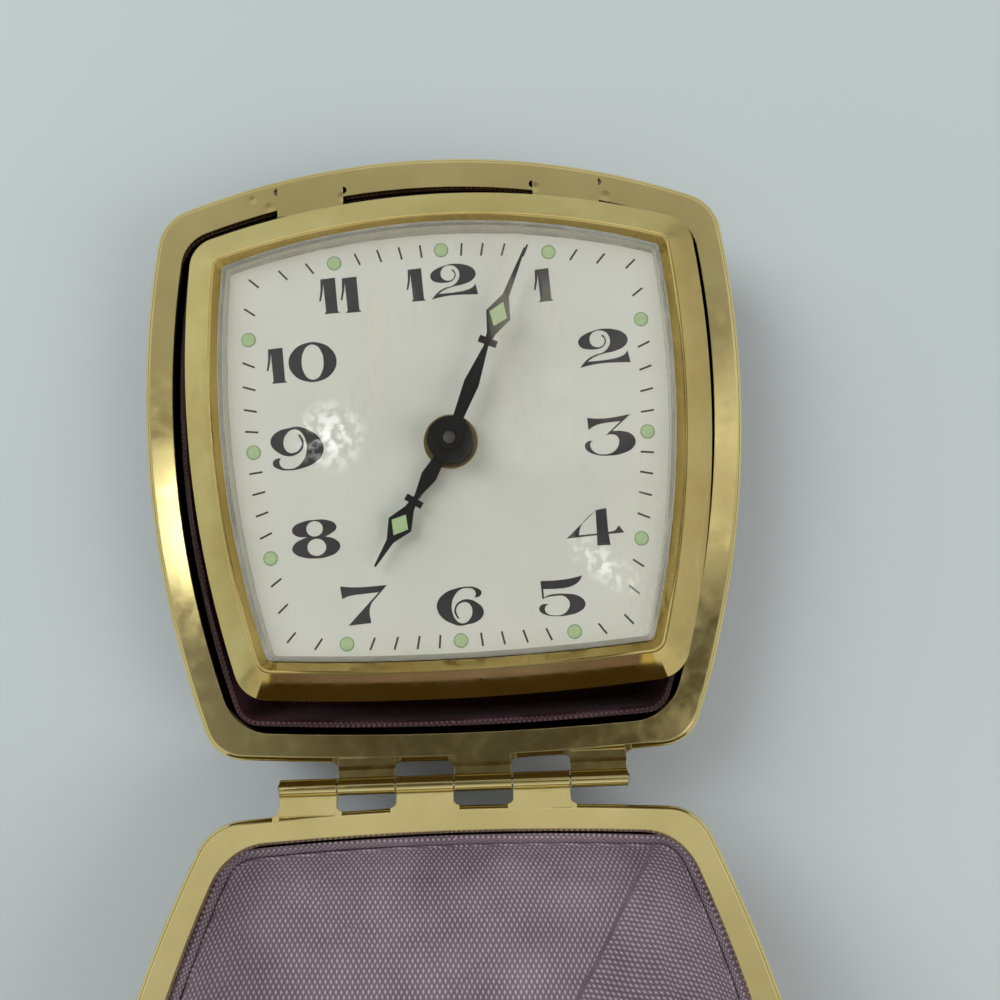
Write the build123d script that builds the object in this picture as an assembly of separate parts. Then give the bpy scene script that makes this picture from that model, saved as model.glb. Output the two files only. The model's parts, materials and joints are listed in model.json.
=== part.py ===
from build123d import *
from math import cos, hypot, pi, radians, sin, sqrt
import os

# Folding travel alarm clock. Millimetres, +Z up, origin at the middle of the case's flat back.
# The case lies on its back with the dial up, +Y is towards twelve, and the lid opens towards -Y.

# Case outline, from the origin: bowed sides that meet in rounded corners
case_half_width = 38.9
case_top = 40.1
case_bottom = 38.95
case_widest = 10.1
case_side_bow = 129.8
case_top_bow = 95.0
case_bottom_bow = 380.0
case_upper_round = 6.0
case_lower_round = 5.5
round_fade_share = 0.55

# Case halves
rear_depth = 16.0
lid_depth = 15.0
parting_gap = 0.1
leather_thickness = 0.7
shell_thickness = 0.5
card_thickness = 0.6
floor_round = 3.8
draft_share = 0.07
card_wall = 0.7
card_setback = 4.2
card_drop = 1.7
lid_card_setback = 3.3
lid_card_wall = 0.5
card_round = 2.6

# Rim frames
rim_sheet = 0.6
rim_skirt = 2.6
rim_side = 3.7
rim_head = 4.2
rim_foot = 3.45
rim_turn = 0.45
rim_turn_drop = 1.2
lid_rim_relief = 0.3
rim_bevel = 0.8
opening_upper_round = 5.0
opening_lower_round = 6.5

# Lid hinge
hinge_drop = 41.5
hinge_length = 43.0
knuckle_count = 6
knuckle_radius = 1.05
knuckle_gap = 0.14
pin_radius = 0.5
pin_fit = 0.05
pin_overhang = 0.15
leaf_reach = 3.4
open_angle = 25.15

# Satin pad in the lid
pad_setback = 3.4
pad_height = 2.0
pad_crown = 1.87
pad_draw = 0.7
pad_corner = 2.0
pad_soft_edge = 0.5

# Clock outline, from the middle of the dial
clock_half_width = 33.3
clock_top = 32.3
clock_bottom = 31.9
clock_widest = 8.0
clock_side_bow = 130.0
clock_top_bow = 100.0
clock_bottom_bow = 300.0
clock_upper_round = 4.0
clock_lower_round = 4.4
clock_fade_share = 0.66
least_round = 0.6

# Where the clock hangs in the case
dial_lift = 3.0
dial_shift = 0.95
dial_height = 0.64
dial_tilt = 3.2
dial_skew = 1.15

# Pivot of the clock
pivot_drop = 3.4
pivot_rod_radius = 0.6
pivot_play = 0.62
pivot_sheet = 0.5
pivot_tab_start = 12.65
pivot_tab_end = 21.4
pivot_tab_relief = 0.5
ear_place = 10.9
ear_thickness = 1.0
ear_margin = 0.8
ear_fit = 0.02
bracket_sheet = 0.6
rod_setback = 1.0
roll_clearance = 0.3

# Bezel
lip_drop = 0.9
lip_edge = 0.45
ridge_height = 2.5
ridge_inset = 3.6
ridge_crest = 0.22
ridge_rise = 0.12
inner_slope_inset = 0.85
inner_slope_drop = 1.3
bezel_sheet = 0.55

# Crystal
crystal_fit = 0.05
crystal_thickness = 0.7
crystal_wall_lean = 0.6
crystal_dome = 190.0
crystal_height = 6.6
crystal_shoulder = 0.6

# Dial and hands
dial_thickness = 0.5
dial_hole_radius = 2.35
dial_foot_radius = 0.6
dial_foot_angle_shares = (0.08, 0.42, 0.75)
dial_foot_place = 19.0
alarm_disc_radius = 3.4
alarm_disc_gap = 0.15
alarm_disc_thickness = 0.3
alarm_tip = 8.2
alarm_tip_half = 0.35
hand_sheet = 0.3
hour_hand_height = 1.35
minute_hand_height = 2.9
hub_radius = 2.8
collet_radius = 1.35
collet_height = 1.0
arbor_proud = 0.75
hour_angle = 213.7
minute_angle = 24.2
alarm_angle = 213.7
lume_fit = 0.02
lume_border = 0.42

# Minute hand, along its length
minute_tip = 25.6
minute_tip_half = 0.1
minute_root_half = 0.64
minute_belly = 7.4
minute_belly_half = 0.95
minute_neck = 12.3
minute_neck_half = 0.28
minute_bar = 12.95
minute_bar_half = 1.17
minute_bar_width = 0.85
minute_diamond = 16.5
minute_diamond_half = 1.6
minute_diamond_back = 2.4
minute_diamond_front = 2.6
minute_shoulder_half = 0.42

# Hour hand, along its length
hour_tip = 18.1
hour_tip_half = 0.12
hour_root_half = 0.72
hour_belly = 5.2
hour_belly_half = 0.98
hour_neck = 8.1
hour_neck_half = 0.3
hour_bar = 8.75
hour_bar_half = 1.15
hour_bar_width = 0.85
hour_diamond = 12.1
hour_diamond_half = 1.62
hour_diamond_back = 2.3
hour_diamond_front = 2.4
hour_shoulder_half = 0.45

# Clock cover
cover_inset = 3.45
cover_wall = 0.7
cover_depth = 11.6
cover_rise = 0.4
cover_draft_share = 0.05
cover_round = 1.1
cover_boss_radius = 1.9
screw_radius = 0.7
screw_fit = 0.04
screw_head_radius = 1.5
screw_head_height = 0.5
screw_slot_width = 0.35
screw_slot_depth = 0.25
screw_bite = 2.2

# Movement plates
plate_inset = 8.5
plate_thickness = 0.8
motion_room = 2.3
train_room = 5.0
pillar_radius = 1.5
pillar_spigot_radius = 0.75
pillar_spots = ((20.5, 14.5), (-20.5, 14.5), (16.5, -18.5), (-16.5, -18.5))
pivot_fit = 0.04

# Motion work between the dial and the front plate
motion_module = 0.3
cannon_teeth = 12
minute_wheel_teeth = 36
minute_pinion_teeth = 10
hour_wheel_teeth = 40
alarm_wheel_teeth = 36
alarm_pinion_teeth = 10
addendum_share = 0.85
dedendum_share = 1.25
tooth_root_share = 0.50
tooth_tip_share = 0.16
wheel_thickness = 0.4
motion_gap = 0.1
cannon_height = 0.9
minute_pinion_height = 0.9
minute_stud_radius = 0.5
minute_stud_angle = 45.0
arbor_radius = 0.7
tube_wall = 0.32
tube_fit = 0.06
alarm_tube_wall = 0.34
alarm_set_radius = 0.45
alarm_set_angle = -90.0

# Going train and alarm train between the plates
barrel_reach = 12.5
barrel_angle = 14.0
great_wheel_teeth = 42
great_wheel_module = 0.5
centre_pinion_teeth = 8
centre_wheel_teeth = 48
train_module = 0.25
train_pinion_teeth = 8
third_wheel_teeth = 45
third_module = 0.22
fourth_wheel_teeth = 40
fourth_module = 0.2
escape_pinion_teeth = 7
escape_teeth = 15
escape_radius = 3.0
escape_root_share = 0.78
ratchet_lean_share = 0.8
train_rim_share = 0.72
alarm_escape_teeth = 16
alarm_escape_radius = 3.2
alarm_escape_pinion_teeth = 6
third_angle = 100.0
fourth_angle = 31.0
escape_angle = 34.0
alarm_escape_angle = -70.0
train_arbor_radius = 0.4
centre_tube_wall = 0.5
spring_thickness = 0.28
spring_height = 2.9
spring_inner = 1.5
spring_outer = 7.4
spring_turns = 5
barrel_arbor_radius = 1.0
hairspring_thickness = 0.16
hairspring_height = 0.35
hairspring_inner = 0.7
hairspring_outer = 2.7
hairspring_turns = 3
spiral_steps = 16
train_gap = 0.25

# Escapement and alarm hammer
balance_x = 3.0
balance_y = 21.3
balance_radius = 4.7
balance_rim = 0.7
balance_spoke = 0.7
balance_staff_radius = 0.35
balance_thickness = 0.6
roller_radius = 0.8
fork_x = 6.4
fork_y = 17.0
fork_sheet = 0.35
fork_arm_width = 0.5
fork_lever_gap = 0.35
pallet_reach = 2.6
hammer_x = -1.5
hammer_y = -17.2
hammer_arm = 9.2
hammer_arm_angle = -18.0
hammer_arm_width = 0.9
hammer_head_radius = 1.3
hammer_head_height = 2.6
hammer_finger_gap = 0.35

# Keys, knobs and levers on the back
key_gap = 0.3
key_boss_radius = 1.9
key_boss_height = 0.9
key_height = 3.2
key_half_span = 5.6
key_sheet = 0.9
key_corner = 1.2
knob_radius = 3.1
knob_height = 2.2
knob_flutes = 20
knob_flute_depth = 0.22
regulator_arm = 5.4
regulator_ring = 1.6
regulator_pin_radius = 0.75
regulator_arm_width = 0.8
regulator_sheet = 0.4
regulator_post_radius = 0.45
regulator_post_proud = 0.8
regulator_slot_play = 0.25
regulator_sweep = 25.0
stop_x = -11.5
stop_y = 15.5
stop_travel = 3.5
stop_length = 4.4
stop_width = 2.2
stop_height = 1.1
stop_neck = 1.1
stop_gap = 0.1
stop_ribs = 4
stop_rib_depth = 0.25
cut_overrun = 1.0

# Places worked out from the sizes above
hinge_height = rear_depth
rim_face = hinge_height - parting_gap / 2
dial_back = -dial_thickness
front_plate_top = dial_back - motion_room
front_plate_back = front_plate_top - plate_thickness
back_plate_top = front_plate_back - train_room
back_plate_back = back_plate_top - plate_thickness
cover_back = -cover_depth
cover_floor = cover_back + cover_wall
knob_seat = cover_back - key_gap
hour_tube_inner = arbor_radius + tube_wall + tube_fit
hour_tube_outer = hour_tube_inner + tube_wall
alarm_tube_inner = hour_tube_outer + tube_fit
alarm_tube_outer = alarm_tube_inner + alarm_tube_wall
cannon_base = front_plate_top + motion_gap
minute_wheel_base = cannon_base + motion_gap
minute_pinion_base = minute_wheel_base + wheel_thickness
hour_wheel_base = cannon_base + cannon_height + motion_gap
alarm_wheel_base = hour_wheel_base + wheel_thickness + motion_gap
motion_distance = motion_module * (cannon_teeth + minute_wheel_teeth) / 2
hour_module = 2 * motion_distance / (minute_pinion_teeth + hour_wheel_teeth)
alarm_distance = motion_module * (alarm_wheel_teeth + alarm_pinion_teeth) / 2
great_wheel_top = front_plate_back - train_gap
spring_top = great_wheel_top - wheel_thickness - train_gap
centre_wheel_base = back_plate_top + train_gap
third_wheel_base = great_wheel_top - wheel_thickness * 5
fourth_wheel_base = third_wheel_base - wheel_thickness * 3
escape_wheel_base = great_wheel_top - wheel_thickness * 3
balance_base = back_plate_top + train_gap + hairspring_height + train_gap

case_form = dict(
    half_width=case_half_width, top=case_top, bottom=case_bottom, widest=case_widest,
    side_bow=case_side_bow, top_bow=case_top_bow, bottom_bow=case_bottom_bow,
    upper=case_upper_round, lower=case_lower_round, fade_share=round_fade_share)
opening_form = dict(
    half_width=case_half_width - rim_side, top=case_top - rim_head, bottom=case_bottom - rim_foot,
    widest=case_widest, side_bow=case_side_bow - rim_side, top_bow=case_top_bow - rim_head,
    bottom_bow=case_bottom_bow - rim_foot, upper=opening_upper_round, lower=opening_lower_round,
    fade_share=round_fade_share)
clock_form = dict(
    half_width=clock_half_width, top=clock_top, bottom=clock_bottom, widest=clock_widest,
    side_bow=clock_side_bow, top_bow=clock_top_bow, bottom_bow=clock_bottom_bow,
    upper=clock_upper_round, lower=clock_lower_round, fade_share=clock_fade_share)


def crossing(side_x, side_y, side_radius, end_y, end_radius):
    # where the side's circle meets the end's circle, on the right of the middle line
    run_x = -side_x
    run_y = end_y - side_y
    apart = sqrt(run_x ** 2 + run_y ** 2)
    along = (side_radius ** 2 - end_radius ** 2 + apart ** 2) / (2 * apart)
    off = sqrt(side_radius ** 2 - along ** 2)
    foot_x = side_x + along * run_x / apart
    foot_y = side_y + along * run_y / apart
    first = (foot_x + off * run_y / apart, foot_y - off * run_x / apart)
    second = (foot_x - off * run_y / apart, foot_y + off * run_x / apart)
    return max(first, second)


def outline(form, inset, height):
    # four bowed edges and four rounded corners, drawn in by inset
    side_x = form["half_width"] - form["side_bow"]
    side_radius = form["side_bow"] - inset
    top_y = form["top"] - form["top_bow"]
    foot_y = form["bottom_bow"] - form["bottom"]
    upper = crossing(side_x, form["widest"], side_radius, top_y, form["top_bow"] - inset)
    lower = crossing(side_x, form["widest"], side_radius, foot_y, form["bottom_bow"] - inset)
    middle = form["half_width"] - inset
    right = ThreePointArc(lower, (middle, form["widest"]), upper)
    head = ThreePointArc(upper, (0, form["top"] - inset), (-upper[0], upper[1]))
    left = ThreePointArc((-upper[0], upper[1]), (-middle, form["widest"]), (-lower[0], lower[1]))
    foot = ThreePointArc((-lower[0], lower[1]), (0, inset - form["bottom"]), lower)
    face = Face(Wire([right, head, left, foot]))
    lower_round = max(form["lower"] - form["fade_share"] * inset, least_round)
    upper_round = max(form["upper"] - form["fade_share"] * inset, least_round)
    face = face.fillet_2d(lower_round, face.vertices().sort_by(Axis.Y)[:2])
    face = face.fillet_2d(upper_round, face.vertices().sort_by(Axis.Y)[-2:])
    return Pos(0, 0, height) * face


def prism(form, inset, low, high):
    return extrude(outline(form, inset, low), amount=high - low, dir=(0, 0, 1))


def frustum(form, low_inset, low, high_inset, high):
    return loft([outline(form, low_inset, low), outline(form, high_inset, high)], ruled=True)


def disc(radius, low, high, x=0, y=0):
    return Pos(x, y, low) * Cylinder(radius, high - low, align=(Align.CENTER, Align.CENTER, Align.MIN))


def ring(outer, inner, low, high, x=0, y=0):
    return disc(outer, low, high, x, y) - disc(inner, low - cut_overrun, high + cut_overrun, x, y)


def slab(length, width, low, high, x=0, y=0):
    return Pos(x, y, low) * Box(length, width, high - low, align=(Align.CENTER, Align.CENTER, Align.MIN))


def polygon(points, low, high):
    return extrude(Pos(0, 0, low) * make_face(Polyline(*points, close=True)), amount=high - low, dir=(0, 0, 1))


def around(radius, angle):
    return radius * cos(radians(angle)), radius * sin(radians(angle))


def toothed(teeth, module, low, high, bore, x=0, y=0, turn=0.0):
    # a wheel with straight-sided teeth, the first tooth centred on the angle turn
    tip = teeth * module / 2 + addendum_share * module
    root = teeth * module / 2 - dedendum_share * module
    pitch = 360 / teeth
    points = []
    for tooth in range(teeth):
        middle = turn + tooth * pitch
        points.append(around(root, middle - pitch * tooth_root_share / 2))
        points.append(around(tip, middle - pitch * tooth_tip_share / 2))
        points.append(around(tip, middle + pitch * tooth_tip_share / 2))
        points.append(around(root, middle + pitch * tooth_root_share / 2))
    wheel = polygon(points, low, high)
    if bore:
        wheel -= disc(bore, low - cut_overrun, high + cut_overrun)
    return Pos(x, y, 0) * wheel


def spokes(wheel, inner, outer, count, width, low, high, x, y):
    # open the wheel's web between its hub and its rim
    web = ring(outer, inner, low - cut_overrun, high + cut_overrun)
    for spoke in range(count):
        web -= Rot(0, 0, spoke * 360 / count) * slab(outer, width, low - cut_overrun, high + cut_overrun, outer / 2)
    return wheel - Pos(x, y, 0) * web


def spiral(inner, outer, turns, thickness, low, high, x, y):
    # a flat coiled strip
    count = turns * spiral_steps
    inside = []
    outside = []
    for step in range(count + 1):
        angle = step * 360 / spiral_steps
        radius = inner + (outer - inner - thickness) * step / count
        inside.append(around(radius, angle))
        outside.append(around(radius + thickness, angle))
    return Pos(x, y, 0) * polygon(inside + outside[::-1], low, high)


def tray_block(inset, floor, top, bottom_round):
    # the space inside one skin of a case half, with drafted sides and a rounded floor
    low_inset = inset + draft_share * (top - floor)
    block = frustum(case_form, low_inset, floor, inset, top)
    return fillet(block.edges().group_by(Axis.Z)[0], bottom_round)


def tray(inset, wall, floor, top, bottom, bottom_round):
    # one skin: its outer block less its inner block
    outer = tray_block(inset, floor, top, bottom_round)
    inner_inset = inset + wall - draft_share * cut_overrun
    inner = tray_block(inner_inset, floor + bottom, top + cut_overrun, bottom_round - wall)
    return outer - inner


def rim_frame(relief):
    # flat flange with a turned-down skirt outside and a short turned edge inside, opened out by relief
    body = prism(case_form, 0, rim_face - rim_skirt, rim_face)
    body = fillet(body.edges().group_by(Axis.Z)[-1], rim_bevel)
    body -= prism(case_form, rim_sheet, rim_face - rim_skirt - cut_overrun, rim_face - rim_sheet)
    body += prism(opening_form, -rim_turn - relief, rim_face - rim_turn_drop, rim_face - rim_sheet / 2)
    body -= prism(opening_form, -relief, rim_face - rim_skirt - cut_overrun, rim_face + cut_overrun)
    return body


def hinge_leaves(first):
    # every second knuckle, each rolled from a strip of the flange; first is 0 or 1
    pitch = hinge_length / knuckle_count
    leaves = []
    for index in range(first, knuckle_count, 2):
        middle = -hinge_length / 2 + pitch * (index + 0.5)
        width = pitch - knuckle_gap
        strip = Pos(middle, -hinge_drop, rim_face - rim_sheet) * Box(
            width, leaf_reach, rim_sheet, align=(Align.CENTER, Align.MIN, Align.MIN))
        barrel = Pos(middle, -hinge_drop, hinge_height) * Rot(0, 90, 0) * Cylinder(knuckle_radius, width)
        hole = Pos(middle, -hinge_drop, hinge_height) * Rot(0, 90, 0) * Cylinder(pin_radius + pin_fit, hinge_length)
        leaves.append(strip + barrel - hole)
    return leaves


def placed_clock():
    # from the dial's own frame to the case's frame
    spot = Pos(dial_shift, dial_height, hinge_height + dial_lift)
    return spot * Rot(0, 0, dial_skew) * Rot(dial_tilt, 0, 0)


knuckle_outer = pivot_rod_radius + pivot_play + pivot_sheet
pivot_height = case_top - rim_head - pivot_drop
pivot_level = rim_face - knuckle_outer
pivot_local = (placed_clock().inverse() * Pos(dial_shift, pivot_height, pivot_level)).position
pivot_rise = pivot_local.Y
pivot_sink = -pivot_local.Z


def pivot_tab(side):
    # a tongue of the flange whose end is rolled round the clock's pivot rod
    length = pivot_tab_end - pivot_tab_start
    middle = side * (pivot_tab_start + pivot_tab_end) / 2
    reach = pivot_drop + rim_sheet
    tongue = Pos(middle, pivot_height, rim_face - pivot_sheet) * Box(
        length, reach, pivot_sheet, align=(Align.CENTER, Align.MIN, Align.MIN))
    roll = Pos(middle, pivot_height, pivot_level) * Rot(0, 90, 0) * Cylinder(knuckle_outer, length)
    return tongue + roll


def pivot_bore(side):
    # the hole through a rolled tongue, clear of the turned edge beside it
    length = pivot_tab_end - pivot_tab_start + cut_overrun
    middle = side * (pivot_tab_start + pivot_tab_end) / 2
    return Pos(middle, pivot_height, pivot_level) * Rot(0, 90, 0) * Cylinder(knuckle_outer - pivot_sheet, length)


def roll_pocket():
    # room in the lining's head wall for the rolled tongues and the rod
    low = pivot_level - knuckle_outer - roll_clearance
    half_depth = knuckle_outer + roll_clearance
    return Pos(0, pivot_height, low) * Box(
        2 * (pivot_tab_end + roll_clearance), 2 * half_depth, 2 * half_depth,
        align=(Align.CENTER, Align.CENTER, Align.MIN))


def rear_rim():
    rim = rim_frame(0)
    for side in (-1, 1):
        for end in (pivot_tab_start, pivot_tab_end):
            spot = side * end
            rim -= disc(pivot_tab_relief, rim_face - rim_skirt, rim_face + cut_overrun, spot, case_top - rim_head)
        rim += pivot_tab(side)
        rim -= pivot_bore(side)
    for leaf in hinge_leaves(1):
        rim += leaf
    return rim


def lid_rim():
    rim = rim_frame(lid_rim_relief)
    for leaf in hinge_leaves(0):
        rim += leaf
    return rim


def case_half(depth, setback, wall):
    # covering, pressed shell and satin-covered card of one half, as it lies when the rim faces up
    floor = hinge_height - depth
    top = rim_face - rim_sheet
    shell_floor = floor + leather_thickness
    card_floor = shell_floor + shell_thickness
    leather = tray(rim_sheet, leather_thickness, floor, top, leather_thickness, floor_round)
    shell_inset = rim_sheet + leather_thickness
    shell = tray(shell_inset, shell_thickness, shell_floor, top, shell_thickness, floor_round - leather_thickness)
    card = tray(setback, wall, card_floor, rim_face - card_drop, card_thickness, card_round)
    return leather, shell, card


def lid_pad():
    # a low crowned cushion on the lid's floor, drawn in along its sides
    floor = hinge_height - lid_depth + leather_thickness + shell_thickness + card_thickness
    inset = lid_card_setback + lid_card_wall + pad_setback + draft_share * lid_depth
    form = dict(case_form)
    form["side_bow"] = case_side_bow + case_half_width * 2
    form["half_width"] = case_half_width - pad_draw
    form["upper"] = case_upper_round + pad_corner
    form["lower"] = case_lower_round + pad_corner
    block = prism(form, inset, floor, floor + pad_height)
    reach = hypot(case_half_width - inset, case_top - inset)
    crown_radius = (reach ** 2 + pad_crown ** 2) / (2 * pad_crown)
    dome = Pos(0, 0, floor + pad_height - crown_radius) * Sphere(crown_radius)
    pad = block & dome
    return fillet(pad.edges().filter_by(lambda edge: edge.center().Z > floor + pad_soft_edge / 2), pad_soft_edge)


def turned_to_lid(shape):
    # the lid half is the mirror image about the hinge, raised from flat to the angle it stands at
    across = mirror(shape, about=Plane(origin=(0, -hinge_drop, 0), z_dir=(0, 1, 0)))
    return across.rotate(Axis((0, -hinge_drop, hinge_height), (1, 0, 0)), -open_angle)


def hinge_pin():
    length = hinge_length + 2 * pin_overhang
    return Pos(0, -hinge_drop, hinge_height) * Rot(0, 90, 0) * Cylinder(pin_radius, length)


def bezel():
    # pressed bezel: a lip, a slope up to the ridge, and a narrow slope down to the crystal
    ridge_in = ridge_inset + ridge_crest
    slope_in = ridge_in + ridge_crest + inner_slope_inset
    slope_low = ridge_height - inner_slope_drop
    shoulder = ridge_height - ridge_rise
    body = prism(clock_form, 0, -lip_drop, lip_edge - lip_drop)
    body += frustum(clock_form, 0, lip_edge - lip_drop, ridge_inset, shoulder)
    body += frustum(clock_form, ridge_inset, shoulder, ridge_in, ridge_height)
    body -= prism(clock_form, slope_in, -lip_drop - cut_overrun, slope_low)
    body -= frustum(clock_form, slope_in, slope_low, ridge_in + ridge_crest, shoulder)
    body -= frustum(clock_form, ridge_in + ridge_crest, shoulder, ridge_in, ridge_height)
    hollow_top = slope_low
    hollow_slope_share = (hollow_top + lip_drop - bezel_sheet / 2) / (shoulder + lip_drop)
    hollow_high_inset = bezel_sheet + ridge_inset * hollow_slope_share
    hollow = frustum(clock_form, bezel_sheet, -lip_drop - bezel_sheet / 2, hollow_high_inset, hollow_top - bezel_sheet)
    hollow -= prism(clock_form, slope_in - bezel_sheet, -lip_drop - cut_overrun, ridge_height)
    return body - hollow


crystal_base_inset = ridge_inset + 2 * ridge_crest + inner_slope_inset + crystal_fit


def crystal():
    # domed cover with leaning side walls
    high = crystal_height
    outer = frustum(clock_form, crystal_base_inset, 0, crystal_base_inset + crystal_wall_lean, high)
    inner_inset = crystal_base_inset + crystal_thickness
    inner = frustum(clock_form, inner_inset, 0, inner_inset + crystal_wall_lean, high)
    dome = Pos(0, 0, crystal_height - crystal_dome) * Sphere(crystal_dome)
    hollow_dome = Pos(0, 0, crystal_height - crystal_dome) * Sphere(crystal_dome - crystal_thickness)
    cap = outer & dome
    cap = fillet(cap.edges().group_by(Axis.Z)[-1] + cap.edges().group_by(Axis.Z)[-2], crystal_shoulder)
    return cap - (inner & hollow_dome)


def dial():
    plate = prism(clock_form, crystal_base_inset, dial_back, 0)
    plate -= disc(dial_hole_radius, dial_back - cut_overrun, cut_overrun)
    for share in dial_foot_angle_shares:
        x, y = around(dial_foot_place, 360 * share)
        plate += disc(dial_foot_radius, front_plate_back, dial_back, x, y)
    return plate


def hand_outline(stations):
    # the right edge from root to tip, then the left edge back
    right = [(half, reach) for reach, half in stations]
    left = [(-half, reach) for reach, half in reversed(stations)]
    return right + left


def hand_window(middle, half, back, front, border):
    return [(0, middle - back + 2 * border), (half - border, middle), (0, middle + front - 2 * border),
            (border - half, middle)]


def hand(stations, window, bar, bar_half, bar_width, low, bore, angle):
    high = low + hand_sheet
    shape = polygon(hand_outline(stations), low, high)
    shape += slab(2 * bar_half, bar_width, low, high, 0, bar)
    shape += disc(hub_radius, low, high)
    shape -= polygon(window, low - cut_overrun, high + cut_overrun)
    shape -= disc(bore, low - cut_overrun, high + cut_overrun)
    return Rot(0, 0, -angle) * shape


minute_stations = (
    (0, minute_root_half), (hub_radius, minute_root_half), (minute_belly, minute_belly_half),
    (minute_neck, minute_neck_half), (minute_diamond - minute_diamond_back, minute_neck_half * 2),
    (minute_diamond, minute_diamond_half), (minute_diamond + minute_diamond_front, minute_shoulder_half),
    (minute_tip, minute_tip_half))
hour_stations = (
    (0, hour_root_half), (hub_radius, hour_root_half), (hour_belly, hour_belly_half),
    (hour_neck, hour_neck_half), (hour_diamond - hour_diamond_back, hour_neck_half * 2),
    (hour_diamond, hour_diamond_half), (hour_diamond + hour_diamond_front, hour_shoulder_half),
    (hour_tip, hour_tip_half))


def minute_window(border):
    return hand_window(minute_diamond, minute_diamond_half, minute_diamond_back, minute_diamond_front, border)


def hour_window(border):
    return hand_window(hour_diamond, hour_diamond_half, hour_diamond_back, hour_diamond_front, border)


def minute_hand():
    low = minute_hand_height
    shape = hand(minute_stations, minute_window(lume_border), minute_bar, minute_bar_half, minute_bar_width,
                 low, arbor_radius, minute_angle)
    return shape + ring(collet_radius, arbor_radius, low, low + collet_height)


def hour_hand():
    return hand(hour_stations, hour_window(lume_border), hour_bar, hour_bar_half, hour_bar_width,
                hour_hand_height, hour_tube_outer, hour_angle)


def lume(window, low, angle):
    return Rot(0, 0, -angle) * polygon(window, low, low + hand_sheet)


def alarm_hand():
    low = alarm_disc_gap
    high = low + alarm_disc_thickness
    shape = disc(alarm_disc_radius, low, high)
    points = [(alarm_tip_half, 0), (alarm_tip_half, alarm_tip), (-alarm_tip_half, alarm_tip), (-alarm_tip_half, 0)]
    shape += Rot(0, 0, -alarm_angle) * polygon(points, low, high)
    return shape - disc(alarm_tube_outer, low - cut_overrun, high + cut_overrun)


def centre_arbor():
    top = minute_hand_height + collet_height + arbor_proud
    return disc(arbor_radius, knob_seat - knob_height / 2, top)


def cannon_pinion():
    # twelve-leaf pinion and the tube that carries the minute hand's collet
    leaves = toothed(cannon_teeth, motion_module, cannon_base, cannon_base + cannon_height, 0,
                     turn=minute_stud_angle)
    tube = disc(arbor_radius + tube_wall, cannon_base, minute_hand_height)
    return leaves + tube - disc(arbor_radius, cannon_base - cut_overrun, minute_hand_height + cut_overrun)


minute_stud_x, minute_stud_y = around(motion_distance, minute_stud_angle)


def minute_wheel():
    # meshes with the cannon pinion below and the hour wheel above
    cannon_turn = minute_stud_angle + 180
    phase = cannon_turn + 180 / minute_wheel_teeth
    low = minute_wheel_base
    high = minute_pinion_base
    bore = minute_stud_radius + pivot_fit
    wheel = toothed(minute_wheel_teeth, motion_module, low, high, bore, minute_stud_x, minute_stud_y, phase)
    pinion = toothed(minute_pinion_teeth, hour_module, high, high + minute_pinion_height, bore,
                     minute_stud_x, minute_stud_y, cannon_turn)
    return wheel + pinion


def hour_wheel():
    low = hour_wheel_base
    high = low + wheel_thickness
    phase = minute_stud_angle + 180 / hour_wheel_teeth
    wheel = toothed(hour_wheel_teeth, hour_module, low, high, 0, 0, 0, phase)
    tube = disc(hour_tube_outer, low, hour_hand_height + hand_sheet)
    return wheel + tube - disc(hour_tube_inner, low - cut_overrun, hour_hand_height + hand_sheet + cut_overrun)


def alarm_wheel():
    low = alarm_wheel_base
    high = low + wheel_thickness
    top = alarm_disc_gap + alarm_disc_thickness
    wheel = toothed(alarm_wheel_teeth, motion_module, low, high, 0, 0, 0, alarm_set_angle)
    tube = disc(alarm_tube_outer, low, top)
    return wheel + tube - disc(alarm_tube_inner, low - cut_overrun, top + cut_overrun)


alarm_set_x, alarm_set_y = around(alarm_distance, alarm_set_angle)


def alarm_set_arbor():
    low = alarm_wheel_base
    high = low + wheel_thickness
    phase = alarm_set_angle + 180 + 180 / alarm_pinion_teeth
    pinion = toothed(alarm_pinion_teeth, motion_module, low, high, 0, alarm_set_x, alarm_set_y, phase)
    return pinion + disc(alarm_set_radius, knob_seat - knob_height / 2, low, alarm_set_x, alarm_set_y)


# Arbor places between the plates
time_barrel = (barrel_reach * cos(radians(barrel_angle)), -barrel_reach * sin(radians(barrel_angle)))
alarm_barrel = (-time_barrel[0], time_barrel[1])
third_reach = train_module * (centre_wheel_teeth + train_pinion_teeth) / 2
third_spot = around(third_reach, third_angle)
fourth_reach = third_module * (third_wheel_teeth + train_pinion_teeth) / 2
fourth_spot = tuple(a + b for a, b in zip(third_spot, around(fourth_reach, fourth_angle)))
escape_reach = fourth_module * (fourth_wheel_teeth + escape_pinion_teeth) / 2
escape_spot = tuple(a + b for a, b in zip(fourth_spot, around(escape_reach, escape_angle)))
alarm_escape_reach = great_wheel_module * (great_wheel_teeth + alarm_escape_pinion_teeth) / 2
alarm_escape_spot = tuple(a + b for a, b in zip(alarm_barrel, around(alarm_escape_reach, alarm_escape_angle)))
balance_spot = (balance_x, balance_y)
fork_spot = (fork_x, fork_y)
hammer_spot = (hammer_x, hammer_y)
train_pivots = (
    (third_spot, train_arbor_radius), (fourth_spot, train_arbor_radius), (escape_spot, train_arbor_radius),
    (alarm_escape_spot, train_arbor_radius), (fork_spot, train_arbor_radius), (hammer_spot, train_arbor_radius),
    (balance_spot, balance_staff_radius))


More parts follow.
